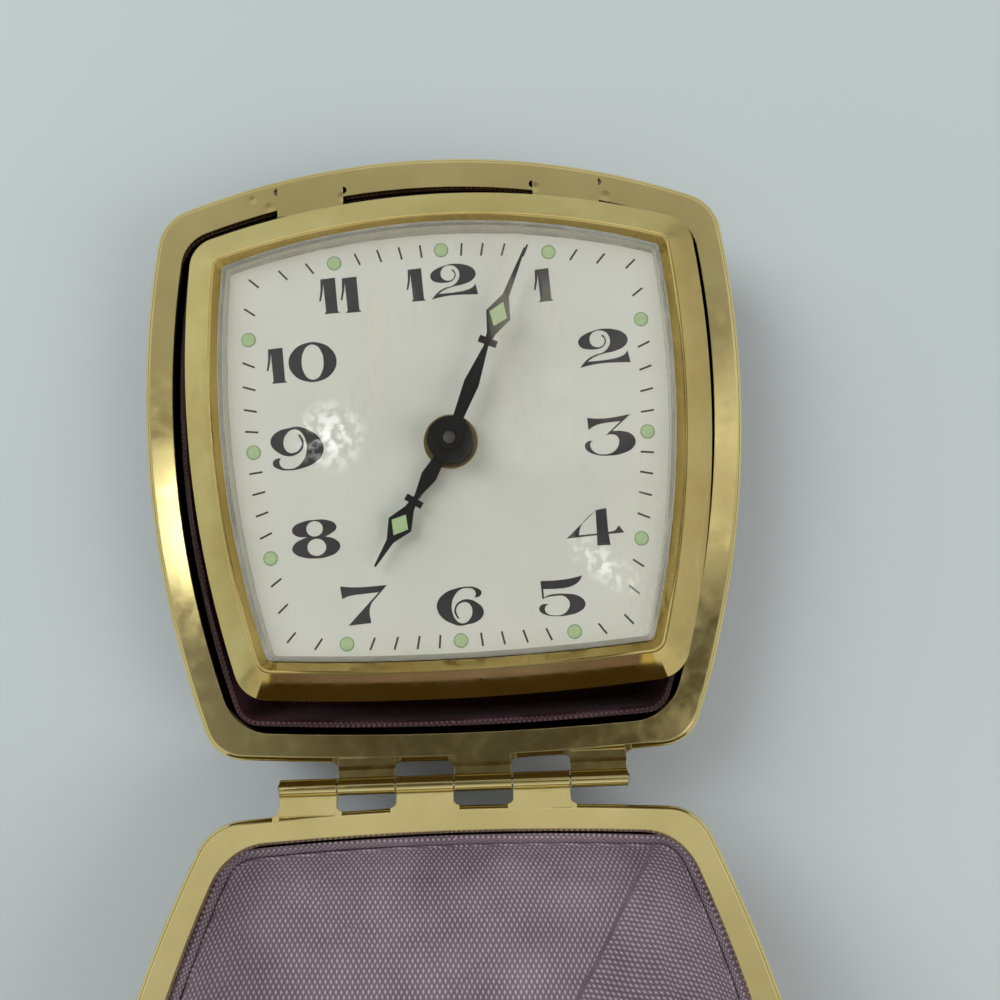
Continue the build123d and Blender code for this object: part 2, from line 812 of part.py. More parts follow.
def plate(low, high, centre_radius):
    sheet = prism(clock_form, plate_inset, low, high)
    holes = [((0, 0), centre_radius), ((alarm_set_x, alarm_set_y), alarm_set_radius + pivot_fit)]
    holes += [(spot, barrel_arbor_radius + pivot_fit) for spot in (time_barrel, alarm_barrel)]
    holes += [(spot, radius + pivot_fit) for spot, radius in train_pivots]
    for spot, radius in holes:
        sheet -= disc(radius, low - cut_overrun, high + cut_overrun, spot[0], spot[1])
    return sheet


def front_plate():
    sheet = plate(front_plate_back, front_plate_top, arbor_radius + pivot_fit)
    for x, y in pillar_spots:
        sheet -= disc(pillar_spigot_radius + pivot_fit, front_plate_back - cut_overrun,
                      front_plate_top + cut_overrun, x, y)
    for share in dial_foot_angle_shares:
        x, y = around(dial_foot_place, 360 * share)
        sheet -= disc(dial_foot_radius + pivot_fit, front_plate_back - cut_overrun,
                      front_plate_top + cut_overrun, x, y)
    stud_top = minute_pinion_base + minute_pinion_height
    return sheet + disc(minute_stud_radius, front_plate_top, stud_top, minute_stud_x, minute_stud_y)


def back_plate():
    sheet = plate(back_plate_back, back_plate_top, arbor_radius + pivot_fit)
    for x, y in pillar_spots:
        sheet -= disc(screw_radius + screw_fit, back_plate_back - cut_overrun, back_plate_top + cut_overrun, x, y)
    low = back_plate_back - motion_gap - regulator_sheet - motion_gap
    sheet += ring(regulator_pin_radius, balance_staff_radius + pivot_fit, low, back_plate_back,
                  balance_x, balance_y)
    return sheet


def plate_pillars():
    pillars = []
    for x, y in pillar_spots:
        pillar = disc(pillar_radius, back_plate_top, front_plate_back, x, y)
        pillar += disc(pillar_spigot_radius, front_plate_back, front_plate_top + motion_gap, x, y)
        pillar -= disc(screw_radius + screw_fit, back_plate_top - cut_overrun, back_plate_top + screw_bite, x, y)
        pillars.append(pillar)
    return pillars


def great_wheel(spot):
    low = great_wheel_top - wheel_thickness
    bore = barrel_arbor_radius + pivot_fit
    wheel = toothed(great_wheel_teeth, great_wheel_module, low, great_wheel_top, bore, spot[0], spot[1])
    rim = great_wheel_teeth * great_wheel_module / 2 - 3 * great_wheel_module
    return spokes(wheel, barrel_arbor_radius * 3, rim, 4, barrel_arbor_radius * 2, low, great_wheel_top,
                  spot[0], spot[1])


def mainspring(spot):
    return spiral(spring_inner, spring_outer, spring_turns, spring_thickness, spring_top - spring_height,
                  spring_top, spot[0], spot[1])


def centre_wheel():
    # slips on the centre arbor when the hands are set
    low = centre_wheel_base
    high = low + wheel_thickness
    bore = arbor_radius + pivot_fit
    tube = arbor_radius + centre_tube_wall
    wheel = toothed(centre_wheel_teeth, train_module, low, high, 0)
    rim = centre_wheel_teeth * train_module / 2 - 4 * train_module
    wheel = spokes(wheel, tube * 2, rim, 4, tube, low, high, 0, 0)
    pinion = toothed(centre_pinion_teeth, great_wheel_module, great_wheel_top - 2 * wheel_thickness,
                     great_wheel_top, 0, 0, 0, centre_phase())
    shape = wheel + pinion + disc(tube, low, great_wheel_top)
    return shape - disc(bore, low - cut_overrun, front_plate_top)


def centre_phase():
    # turns the centre pinion so that its leaves stand between the great wheel's teeth
    return -barrel_angle + facing_phase(great_wheel_teeth, centre_pinion_teeth, 180 - barrel_angle)


def facing_phase(wheel_teeth, pinion_teeth, wheel_side):
    # how far the wheel's nearest tooth is past the line of centres, carried over to the pinion
    pitch = 360 / wheel_teeth
    past = wheel_side % pitch
    return past * wheel_teeth / pinion_teeth + 180 / pinion_teeth


def train_wheel(teeth, module, low, spot, pinion_teeth, pinion_module, pinion_low, rim_share, toward):
    # wheel, pinion and arbor in one, the pinion in mesh with the wheel before it
    wheel = toothed(teeth, module, low, low + wheel_thickness, 0, spot[0], spot[1])
    rim = teeth * module / 2 * rim_share
    wheel = spokes(wheel, train_arbor_radius * 3, rim, 4, train_arbor_radius * 2, low, low + wheel_thickness,
                   spot[0], spot[1])
    pinion = toothed(pinion_teeth, pinion_module, pinion_low, pinion_low + 2 * wheel_thickness, 0,
                     spot[0], spot[1], toward)
    return wheel + pinion + disc(train_arbor_radius, back_plate_back, front_plate_top, spot[0], spot[1])


def pinion_turn(wheel_teeth, wheel_turn, pinion_teeth, angle):
    # the pinion's first leaf, when it stands at this angle from the wheel's middle
    pitch = 360 / wheel_teeth
    past = (angle - wheel_turn) % pitch
    return angle + 180 + past * wheel_teeth / pinion_teeth + 180 / pinion_teeth


def third_wheel():
    turn = pinion_turn(centre_wheel_teeth, 0, train_pinion_teeth, third_angle)
    low = centre_wheel_base - train_gap / 2
    return train_wheel(third_wheel_teeth, third_module, third_wheel_base, third_spot,
                       train_pinion_teeth, train_module, low, train_rim_share, turn)


def fourth_wheel():
    turn = pinion_turn(third_wheel_teeth, 0, train_pinion_teeth, fourth_angle)
    low = third_wheel_base - wheel_thickness / 2
    return train_wheel(fourth_wheel_teeth, fourth_module, fourth_wheel_base, fourth_spot,
                       train_pinion_teeth, third_module, low, train_rim_share, turn)


def ratchet(teeth, radius, low, high, spot):
    # pointed teeth that lean one way
    points = []
    for tooth in range(teeth):
        angle = tooth * 360 / teeth
        points.append(around(radius, angle))
        points.append(around(radius * escape_root_share, angle + 180 / teeth / 2))
        points.append(around(radius * escape_root_share, angle + 360 / teeth * ratchet_lean_share))
    return Pos(spot[0], spot[1], 0) * polygon(points, low, high)


def escape_wheel():
    turn = pinion_turn(fourth_wheel_teeth, 0, escape_pinion_teeth, escape_angle)
    wheel = ratchet(escape_teeth, escape_radius, escape_wheel_base, escape_wheel_base + wheel_thickness, escape_spot)
    low = fourth_wheel_base - wheel_thickness / 2
    pinion = toothed(escape_pinion_teeth, fourth_module, low, low + 2 * wheel_thickness, 0,
                     escape_spot[0], escape_spot[1], turn)
    arbor = disc(train_arbor_radius, back_plate_back, front_plate_top, escape_spot[0], escape_spot[1])
    return wheel + pinion + arbor


def alarm_escape_wheel():
    turn = pinion_turn(great_wheel_teeth, 0, alarm_escape_pinion_teeth, alarm_escape_angle)
    x, y = alarm_escape_spot
    low = fourth_wheel_base
    wheel = ratchet(alarm_escape_teeth, alarm_escape_radius, low, low + wheel_thickness, alarm_escape_spot)
    base = great_wheel_top - 2 * wheel_thickness
    pinion = toothed(alarm_escape_pinion_teeth, great_wheel_module, base, great_wheel_top, 0, x, y, turn)
    return wheel + pinion + disc(train_arbor_radius, back_plate_back, front_plate_top, x, y)


def bar_between(start, end, width, low, high):
    run_x = end[0] - start[0]
    run_y = end[1] - start[1]
    length = sqrt(run_x ** 2 + run_y ** 2)
    off_x = -run_y / length * width / 2
    off_y = run_x / length * width / 2
    points = [(start[0] + off_x, start[1] + off_y), (start[0] - off_x, start[1] - off_y),
              (end[0] - off_x, end[1] - off_y), (end[0] + off_x, end[1] + off_y)]
    return polygon(points, low, high)


def toward(start, end, reach):
    run_x = end[0] - start[0]
    run_y = end[1] - start[1]
    length = sqrt(run_x ** 2 + run_y ** 2)
    return start[0] + run_x / length * reach, start[1] + run_y / length * reach


def spread(start, end):
    return sqrt((end[0] - start[0]) ** 2 + (end[1] - start[1]) ** 2)


def pallet_fork():
    low = escape_wheel_base
    high = low + fork_sheet
    lever_reach = spread(fork_spot, balance_spot) - roller_radius - fork_lever_gap
    shape = bar_between(fork_spot, toward(fork_spot, balance_spot, lever_reach), fork_arm_width, low, high)
    clear = spread(fork_spot, escape_spot) - escape_radius - fork_lever_gap
    base = toward(fork_spot, escape_spot, clear / 2)
    across_x = -(escape_spot[1] - fork_spot[1]) / spread(fork_spot, escape_spot)
    across_y = (escape_spot[0] - fork_spot[0]) / spread(fork_spot, escape_spot)
    for side in (-1, 1):
        tip = (base[0] + side * across_x * pallet_reach / 2, base[1] + side * across_y * pallet_reach / 2)
        shape += bar_between(fork_spot, tip, fork_arm_width, low, high)
    return shape + disc(train_arbor_radius, back_plate_back, front_plate_top, fork_x, fork_y)


def balance_wheel():
    low = balance_base
    high = low + balance_thickness
    wheel = ring(balance_radius, balance_radius - balance_rim, low, high)
    wheel += slab(2 * balance_radius - balance_rim, balance_spoke, low, high)
    wheel += slab(balance_spoke, 2 * balance_radius - balance_rim, low, high)
    wheel += disc(roller_radius, escape_wheel_base, escape_wheel_base + fork_sheet)
    wheel += disc(balance_staff_radius, back_plate_back, front_plate_top)
    return Pos(balance_x, balance_y, 0) * wheel


def hairspring():
    low = back_plate_top + train_gap
    return spiral(hairspring_inner, hairspring_outer, hairspring_turns, hairspring_thickness, low,
                  low + hairspring_height, balance_x, balance_y)


def alarm_hammer():
    low = third_wheel_base
    high = low + fork_sheet
    head = toward(hammer_spot, (hammer_x + cos(radians(hammer_arm_angle)), hammer_y + sin(radians(hammer_arm_angle))),
                  hammer_arm)
    shape = bar_between(hammer_spot, head, hammer_arm_width, low, high)
    shape += disc(hammer_head_radius, low - hammer_head_height / 2, low + hammer_head_height / 2, head[0], head[1])
    reach = spread(hammer_spot, alarm_escape_spot) - alarm_escape_radius - hammer_finger_gap
    shape += bar_between(hammer_spot, toward(hammer_spot, alarm_escape_spot, reach), fork_arm_width,
                         fourth_wheel_base, fourth_wheel_base + fork_sheet)
    return shape + disc(train_arbor_radius, back_plate_back, front_plate_top, hammer_x, hammer_y)


def cover_hole(radius, x, y):
    return disc(radius, cover_back - cut_overrun, cover_floor + cut_overrun, x, y)


def regulator_slot():
    # an arc about the balance, wide enough for the lever's post
    half = regulator_post_radius + regulator_slot_play
    sweep = regulator_sweep + 180 / pi * regulator_slot_play / regulator_arm
    slot = ring(regulator_arm + half, regulator_arm - half, cover_back - cut_overrun, cover_floor + cut_overrun)
    wedge = []
    for angle in (-90 - sweep, -90, -90 + sweep):
        wedge.append(around(2 * regulator_arm, angle))
    slot &= polygon([(0, 0)] + wedge, cover_back - cut_overrun, cover_floor + cut_overrun)
    for angle in (-90 - sweep, -90 + sweep):
        x, y = around(regulator_arm, angle)
        slot += disc(half, cover_back - cut_overrun, cover_floor + cut_overrun, x, y)
    return Pos(balance_x, balance_y, 0) * slot


def clock_cover():
    # drawn cup that closes the back of the clock and slips inside the bezel
    run = cover_rise - cover_back
    outer = frustum(clock_form, cover_inset + cover_draft_share * run, cover_back, cover_inset, cover_rise)
    outer = fillet(outer.edges().group_by(Axis.Z)[0], cover_round)
    run_in = cover_rise + cut_overrun - cover_floor
    inner_high = cover_inset + cover_wall - cover_draft_share * cut_overrun
    inner = frustum(clock_form, inner_high + cover_draft_share * run_in, cover_floor, inner_high,
                    cover_rise + cut_overrun)
    inner = fillet(inner.edges().group_by(Axis.Z)[0], cover_round - cover_wall)
    cup = outer - inner
    for x, y in pillar_spots:
        cup += disc(cover_boss_radius, cover_floor - cover_wall / 2, back_plate_back, x, y)
        cup -= disc(screw_radius + screw_fit, cover_back - cut_overrun, back_plate_back + cut_overrun, x, y)
    cup -= cover_hole(arbor_radius + key_gap, 0, 0)
    cup -= cover_hole(alarm_set_radius + key_gap, alarm_set_x, alarm_set_y)
    for spot in (time_barrel, alarm_barrel):
        cup -= cover_hole(barrel_arbor_radius + key_gap, spot[0], spot[1])
    cup -= regulator_slot()
    slot_length = stop_travel + stop_neck + 2 * stop_gap
    slot_middle = stop_x + stop_travel / 2
    cup -= slab(slot_length, stop_neck + 2 * stop_gap, cover_back - cut_overrun, cover_floor + cut_overrun,
                slot_middle, stop_y)
    return cup


def cover_screws():
    screws = []
    for x, y in pillar_spots:
        low = cover_back - screw_head_height
        screw = disc(screw_head_radius, low, cover_back, x, y)
        screw -= slab(3 * screw_head_radius, screw_slot_width, low - cut_overrun, low + screw_slot_depth, x, y)
        screw += disc(screw_radius, cover_back, back_plate_top + screw_bite - screw_fit, x, y)
        screws.append(screw)
    return screws


def winding_key(spot, lean):
    # wing key on the squared end of a winding arbor
    base = knob_seat - key_boss_height
    tip = knob_seat - key_height
    arbor = disc(barrel_arbor_radius, base, front_plate_top)
    boss = disc(key_boss_radius, base, knob_seat)
    wing = Box(2 * key_half_span, key_sheet, knob_seat - tip)
    wing = fillet(wing.edges().filter_by(Axis.Y), key_corner)
    wing = Pos(0, 0, (knob_seat + tip) / 2) * wing
    key = arbor + boss + wing
    return Pos(spot[0], spot[1], 0) * Rot(0, 0, lean) * key


def fluted_knob(x, y, bore):
    # low knob with a fluted rim
    points = []
    for flute in range(knob_flutes):
        angle = flute * 360 / knob_flutes
        points.append(around(knob_radius, angle - 90 / knob_flutes))
        points.append(around(knob_radius, angle + 90 / knob_flutes))
        points.append(around(knob_radius - knob_flute_depth, angle + 180 / knob_flutes))
    knob = polygon(points, knob_seat - knob_height, knob_seat)
    knob -= disc(bore, knob_seat - knob_height / 2, knob_seat + cut_overrun)
    return Pos(x, y, 0) * knob


def regulator_lever():
    low = back_plate_back - motion_gap - regulator_sheet
    high = back_plate_back - motion_gap
    shape = disc(regulator_ring, low, high)
    shape += slab(regulator_arm_width, regulator_arm, low, high, 0, -regulator_arm / 2)
    shape += disc(regulator_post_radius, cover_back - regulator_post_proud, low, 0, -regulator_arm)
    shape -= disc(regulator_pin_radius + pivot_fit, low - cut_overrun, high + cut_overrun)
    return Pos(balance_x, balance_y, 0) * shape


def alarm_stop_slide():
    # ribbed button outside, neck through the slot, keeper inside
    high = cover_back - stop_gap
    low = high - stop_height
    button = slab(stop_length, stop_width, low, high)
    for rib in range(stop_ribs):
        place = stop_length * ((rib + 0.5) / stop_ribs - 0.5)
        button -= slab(stop_rib_depth, stop_width + cut_overrun, low - cut_overrun, low + stop_rib_depth, place)
    neck = slab(stop_neck, stop_neck, low, cover_floor + stop_gap)
    keeper = slab(stop_length, stop_width, cover_floor + stop_gap, cover_floor + stop_gap + hand_sheet)
    return Pos(stop_x, stop_y, 0) * (button + neck + keeper)


def pivot_bracket():
    # a strip on the cover's top wall with two ears for the rod
    low = -pivot_sink - ear_thickness * 2
    high = -pivot_sink + ear_thickness * 2
    run = cover_rise - low
    inner = frustum(clock_form, cover_inset + cover_draft_share * run, low, cover_inset + cover_draft_share
                    * (cover_rise - high), high)
    outer_low = cover_inset + cover_draft_share * run - bracket_sheet
    outer_high = cover_inset + cover_draft_share * (cover_rise - high) - bracket_sheet
    outer = frustum(clock_form, outer_low, low, outer_high, high)
    half = ear_place + ear_thickness / 2
    window = Pos(0, clock_top / 2, (low + high) / 2) * Box(2 * half, clock_top * 2, high - low)
    strip = (outer - inner) & window
    bracket = strip
    head_radius = pivot_rod_radius + ear_margin
    base_y = clock_top - cover_inset - cover_draft_share * run - ear_place ** 2 / clock_top_bow
    for side in (-1, 1):
        eye = Pos(side * ear_place, pivot_rise, -pivot_sink) * Rot(0, 90, 0) * Cylinder(head_radius, ear_thickness)
        arm_reach = pivot_rise - base_y
        arm = Pos(side * ear_place, base_y, -pivot_sink) * Box(
            ear_thickness, arm_reach, 2 * head_radius, align=(Align.CENTER, Align.MIN, Align.CENTER))
        bracket += (eye + arm) - prism(clock_form, cover_inset, cover_back, cover_rise)
    bracket -= Pos(0, pivot_rise, -pivot_sink) * Rot(0, 90, 0) * Cylinder(
        pivot_rod_radius + ear_fit, 2 * pivot_tab_end)
    bracket -= frustum(clock_form, cover_inset + cover_draft_share * (cover_rise - cover_back), cover_back,
                       cover_inset, cover_rise)
    return bracket


def pivot_rod():
    # plain rod that ends inside the two rolled tongues
    length = 2 * (pivot_tab_end - rod_setback)
    return Pos(-dial_shift, pivot_rise, -pivot_sink) * Rot(0, 90, 0) * Cylinder(pivot_rod_radius, length)


def write(name, shape):
    solids = []
    for piece in shape if isinstance(shape, list) else [shape]:
        solids += piece.solids()
    whole = solids[0] if len(solids) == 1 else Compound(children=solids)
    export_step(whole, "parts/" + name + ".step")


def build_case():
    leather, shell, card = case_half(rear_depth, card_setback, card_wall)
    write("rear_leather", leather)
    write("rear_shell", shell)
    write("rear_lining", card - roll_pocket())
    write("rear_rim", rear_rim())
    write("hinge_pin", hinge_pin())
    leather, shell, card = case_half(lid_depth, lid_card_setback, lid_card_wall)
    write("lid_leather", turned_to_lid(leather))
    write("lid_shell", turned_to_lid(shell))
    write("lid_lining", turned_to_lid(card))
    write("lid_pad", turned_to_lid(lid_pad()))
    write("lid_rim", turned_to_lid(lid_rim()))


def build_clock():
    pieces = dict(
        pivot_rod=pivot_rod(), pivot_bracket=pivot_bracket(), bezel=bezel(), crystal=crystal(), dial=dial(),
        alarm_hand=alarm_hand(), hour_hand=hour_hand(), minute_hand=minute_hand(),
        hour_lume=lume(hour_window(lume_border + lume_fit), hour_hand_height, hour_angle),
        minute_lume=lume(minute_window(lume_border + lume_fit), minute_hand_height, minute_angle),
        centre_arbor=centre_arbor(), cannon_pinion=cannon_pinion(), minute_wheel=minute_wheel(),
        hour_wheel=hour_wheel(), alarm_wheel=alarm_wheel(), alarm_set_arbor=alarm_set_arbor(),
        front_plate=front_plate(), back_plate=back_plate(), plate_pillars=plate_pillars(),
        time_great_wheel=great_wheel(time_barrel), time_mainspring=mainspring(time_barrel),
        alarm_great_wheel=great_wheel(alarm_barrel), alarm_mainspring=mainspring(alarm_barrel),
        centre_wheel=centre_wheel(), third_wheel=third_wheel(), fourth_wheel=fourth_wheel(),
        escape_wheel=escape_wheel(), alarm_escape_wheel=alarm_escape_wheel(), pallet_fork=pallet_fork(),
        balance_wheel=balance_wheel(), hairspring=hairspring(), alarm_hammer=alarm_hammer(),
        clock_cover=clock_cover(), cover_screws=cover_screws(), time_key=winding_key(time_barrel, 0),
        alarm_key=winding_key(alarm_barrel, 0), time_set_knob=fluted_knob(0, 0, arbor_radius),
        alarm_set_knob=fluted_knob(alarm_set_x, alarm_set_y, alarm_set_radius),
        regulator_lever=regulator_lever(), alarm_stop_slide=alarm_stop_slide())
    place = placed_clock()
    for name, shape in pieces.items():
        if isinstance(shape, list):
            write(name, [place * piece for piece in shape])
        else:
            write(name, place * shape)


os.makedirs("parts", exist_ok=True)
build_case()
build_clock()
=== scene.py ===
import json
import math
import bmesh
import bpy
from mathutils import Matrix, Vector, noise


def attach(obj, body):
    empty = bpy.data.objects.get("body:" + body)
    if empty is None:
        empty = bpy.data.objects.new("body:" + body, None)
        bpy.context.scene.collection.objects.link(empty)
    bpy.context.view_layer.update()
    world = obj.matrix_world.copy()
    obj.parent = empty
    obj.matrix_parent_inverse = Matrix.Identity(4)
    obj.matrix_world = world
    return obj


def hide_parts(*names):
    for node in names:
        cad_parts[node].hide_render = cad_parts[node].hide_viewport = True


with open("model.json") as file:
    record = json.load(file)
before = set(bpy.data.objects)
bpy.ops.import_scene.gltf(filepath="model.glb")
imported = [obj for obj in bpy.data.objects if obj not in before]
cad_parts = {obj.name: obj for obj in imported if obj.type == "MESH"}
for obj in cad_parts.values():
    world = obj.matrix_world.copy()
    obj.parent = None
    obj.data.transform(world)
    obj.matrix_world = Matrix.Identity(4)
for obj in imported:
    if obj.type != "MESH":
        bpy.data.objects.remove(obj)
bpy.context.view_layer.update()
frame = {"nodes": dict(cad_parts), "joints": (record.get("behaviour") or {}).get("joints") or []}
mm = 0.001
print("folding travel clock: frame loaded")

# Places that the frame gives: the clock's own axes and the lid's hinge
joints = {joint["name"]: joint for joint in frame["joints"]}
clockUp = -Vector(joints["minute_turn"]["axis"])
clockRight = Vector(joints["alarm_stop_travel"]["axis"])
clockAcross = clockUp.cross(clockRight)
clockPlace = Matrix.Translation(joints["minute_turn"]["pos_m"]) @ Matrix(
    (clockRight, clockAcross, clockUp)).transposed().to_4x4()
hingePoint = Vector(joints["lid_hinge"]["pos_m"])
openAngle = joints["lid_hinge"]["range_deg"][1]
lidPlace = (Matrix.Translation(hingePoint) @ Matrix.Rotation(math.radians(-openAngle), 4, "X")
            @ Matrix.Translation(-hingePoint))

# Outline of the case in millimetres, bowed sides with rounded corners, and its heights
caseForm = {"half": 38.9, "top": 40.1, "bottom": 38.95, "widest": 10.1, "sideBow": 129.8, "topBow": 95.0,
            "bottomBow": 380.0, "upper": 6.0, "lower": 5.5, "fade": 0.55, "least": 0.6}
levels = {"rimFace": 15.95, "cardDrop": 1.7}
sharpAngle = 40


# Places, curves and meshes
def crossPoint(centreA, radiusA, centreB, radiusB, upper):
    # where two circles cross, on the side away from the middle
    gap = centreB - centreA
    along = (radiusA ** 2 - radiusB ** 2 + gap.length_squared) / (2 * gap.length)
    rise = math.sqrt(max(radiusA ** 2 - along ** 2, 0))
    way = gap.normalized()
    foot = centreA + way * along
    spots = [foot + Vector((-way.y, way.x)) * rise, foot - Vector((-way.y, way.x)) * rise]
    return max(spots, key=lambda spot: spot.x + (spot.y if upper else -spot.y))


def arcPoints(centre, radius, start, end, count):
    return [centre + Vector((math.cos(a), math.sin(a))) * radius
            for a in [start + (end - start) * step / count for step in range(count)]]


def angleOf(point, centre):
    return math.atan2(point.y - centre.y, point.x - centre.x)


def bowedOutline(form, inset, sideSteps=26, cornerSteps=12):
    # closed outline, counter-clockwise from the middle of the bottom
    side = Vector((form["half"] - form["sideBow"], form["widest"]))
    top = Vector((0, form["top"] - form["topBow"]))
    bottom = Vector((0, form["bottomBow"] - form["bottom"]))
    sideRadius, topRadius, bottomRadius = (form[bow] - inset for bow in ("sideBow", "topBow", "bottomBow"))
    low = max(form["lower"] - form["fade"] * inset, form["least"])
    high = max(form["upper"] - form["fade"] * inset, form["least"])
    lowCentre = crossPoint(side, sideRadius - low, bottom, bottomRadius - low, False)
    highCentre = crossPoint(side, sideRadius - high, top, topRadius - high, True)
    lowStart, lowEnd = angleOf(lowCentre, bottom), angleOf(lowCentre, side)
    highStart, highEnd = angleOf(highCentre, side), angleOf(highCentre, top)
    right = arcPoints(bottom, bottomRadius, -math.pi / 2, lowStart, sideSteps)
    right += arcPoints(lowCentre, low, lowStart, lowEnd, cornerSteps)
    right += arcPoints(side, sideRadius, lowEnd, highStart, 2 * sideSteps)
    right += arcPoints(highCentre, high, highStart, highEnd, cornerSteps)
    right += arcPoints(top, topRadius, highEnd, math.pi / 2, sideSteps)
    left = [Vector((-point.x, point.y)) for point in reversed(right[1:])]
    return right + [Vector((0, form["top"] - inset))] + left


def newPiece(name, mesh, place=None):
    piece = bpy.data.objects.new(name, mesh)
    bpy.context.scene.collection.objects.link(piece)
    if place is not None:
        piece.matrix_world = place
    return piece


def smoothFaces(mesh, angle=sharpAngle):
    mesh.shade_smooth()
    mesh.set_sharp_from_angle(angle=math.radians(angle))


def mirrorOverHinge(form):
    # the lid is the case's form turned over the hinge, laid flat
    for vertex in form.verts:
        vertex.co.y = 2 * hingePoint.y - vertex.co.y
    bmesh.ops.reverse_faces(form, faces=form.faces)


def meshFromRings(name, rings, flatFrom, middle, mirrored=False, spread=None):
    # rings of the same count joined by quads, with cloth coordinates in metres: round and up the wall
    # below flatFrom, and from there on seen from above, spread outwards by the length that slopes add
    spread = spread or [0.0] * len(rings)
    mesh = bpy.data.meshes.new(name)
    form = bmesh.new()
    cloth = form.loops.layers.uv.new("cloth")
    rows = [[form.verts.new(Vector(point) * mm) for point in ring] for ring in rings]
    count = len(rings[0])
    girth = [0.0]
    for step in range(count):
        start, end = Vector(rings[0][step]), Vector(rings[0][(step + 1) % count])
        girth.append(girth[-1] + (end - start).length * mm)
    rise = [0.0]
    for lower, upper in zip(rings, rings[1:]):
        rise.append(rise[-1] + (Vector(upper[0]) - Vector(lower[0])).length * mm)
    for level, (lower, upper) in enumerate(zip(rows, rows[1:])):
        for step in range(count):
            after = (step + 1) % count
            face = form.faces.new((lower[step], lower[after], upper[after], upper[step]))
            spots = [(girth[step], rise[level]), (girth[step + 1], rise[level]),
                     (girth[step + 1], rise[level + 1]), (girth[step], rise[level + 1])]
            outward = [spread[level]] * 2 + [spread[level + 1]] * 2
            for loop, spot, added in zip(face.loops, spots, outward):
                plan = loop.vert.co.xy
                loop[cloth].uv = plan + plan.normalized() * added * mm if level >= flatFrom else spot
    hub = form.verts.new(Vector(middle) * mm)
    last = rows[-1]
    for step in range(count):
        face = form.faces.new((last[step], last[(step + 1) % count], hub))
        for loop in face.loops:
            loop[cloth].uv = loop.vert.co.xy
    if mirrored:
        mirrorOverHinge(form)
    form.normal_update()
    form.to_mesh(mesh)
    form.free()
    smoothFaces(mesh)
    return mesh


# Finishes
def startMaterial(name):
    material = bpy.data.materials.new(name)
    material.use_nodes = True
    tree = material.node_tree
    shader = tree.nodes["Principled BSDF"]
    return material, tree, shader


def addNode(tree, kind, **settings):
    node = tree.nodes.new("ShaderNode" + kind)
    for key, value in settings.items():
        if key in node.inputs:
            node.inputs[key].default_value = value
        else:
            setattr(node, key, value)
    return node


def noiseAt(tree, scale, detail=4.0, stretch=None):
    spot = addNode(tree, "TexCoord")
    speckle = addNode(tree, "TexNoise", Scale=scale, Detail=detail, Roughness=0.55)
    source = spot.outputs["Object"]
    if stretch is not None:
        mapping = addNode(tree, "Mapping", Scale=stretch)
        tree.links.new(source, mapping.inputs["Vector"])
        source = mapping.outputs["Vector"]
    tree.links.new(source, speckle.inputs["Vector"])
    return speckle.outputs["Fac"]


def rampOf(tree, source, stops):
    ramp = addNode(tree, "ValToRGB")
    band = ramp.color_ramp
    while len(band.elements) < len(stops):
        band.elements.new(0.5)
    for element, (spot, colour) in zip(band.elements, stops):
        element.position = spot
        element.color = colour if len(colour) == 4 else (*colour, 1)
    tree.links.new(source, ramp.inputs["Fac"])
    return ramp.outputs["Color"]


def rangeOf(tree, source, low, high, start=0.0, end=1.0):
    span = addNode(tree, "MapRange")
    span.inputs["From Min"].default_value = start
    span.inputs["From Max"].default_value = end
    span.inputs["To Min"].default_value = low
    span.inputs["To Max"].default_value = high
    tree.links.new(source, span.inputs["Value"])
    return span.outputs["Result"]


def bumpOn(tree, shader, height, depth, strength=1.0, under=None):
    bump = addNode(tree, "Bump", Strength=strength, Distance=depth)
    tree.links.new(height, bump.inputs["Height"])
    if under is not None:
        tree.links.new(under, bump.inputs["Normal"])
    tree.links.new(bump.outputs["Normal"], shader.inputs["Normal"])
    return bump.outputs["Normal"]


def paintBy(tree, shader, source, stops):
    tree.links.new(rampOf(tree, source, stops), shader.inputs["Base Color"])


def glossBy(tree, shader, source, smooth, dull, start=0.0, end=1.0):
    tree.links.new(rangeOf(tree, source, smooth, dull, start, end), shader.inputs["Roughness"])


def setInputs(shader, **values):
    for key, value in values.items():
        shader.inputs[key].default_value = value


def dotWith(tree, source, way):
    across = addNode(tree, "VectorMath", operation="DOT_PRODUCT")
    tree.links.new(source, across.inputs[0])
    across.inputs[1].default_value = way
    return across.outputs["Value"]


def joinedBy(tree, operation, *sources):
    joined = addNode(tree, "Math", operation=operation)
    for socket, source in zip(joined.inputs, sources):
        if isinstance(source, float):
            socket.default_value = source
        else:
            tree.links.new(source, socket)
    return joined.outputs[0]


def mixedShaders(tree, share, first, second):
    mixed = addNode(tree, "MixShader")
    for socket, source in zip(mixed.inputs, (share, first, second)):
        tree.links.new(source, socket)
    return mixed.outputs[0]


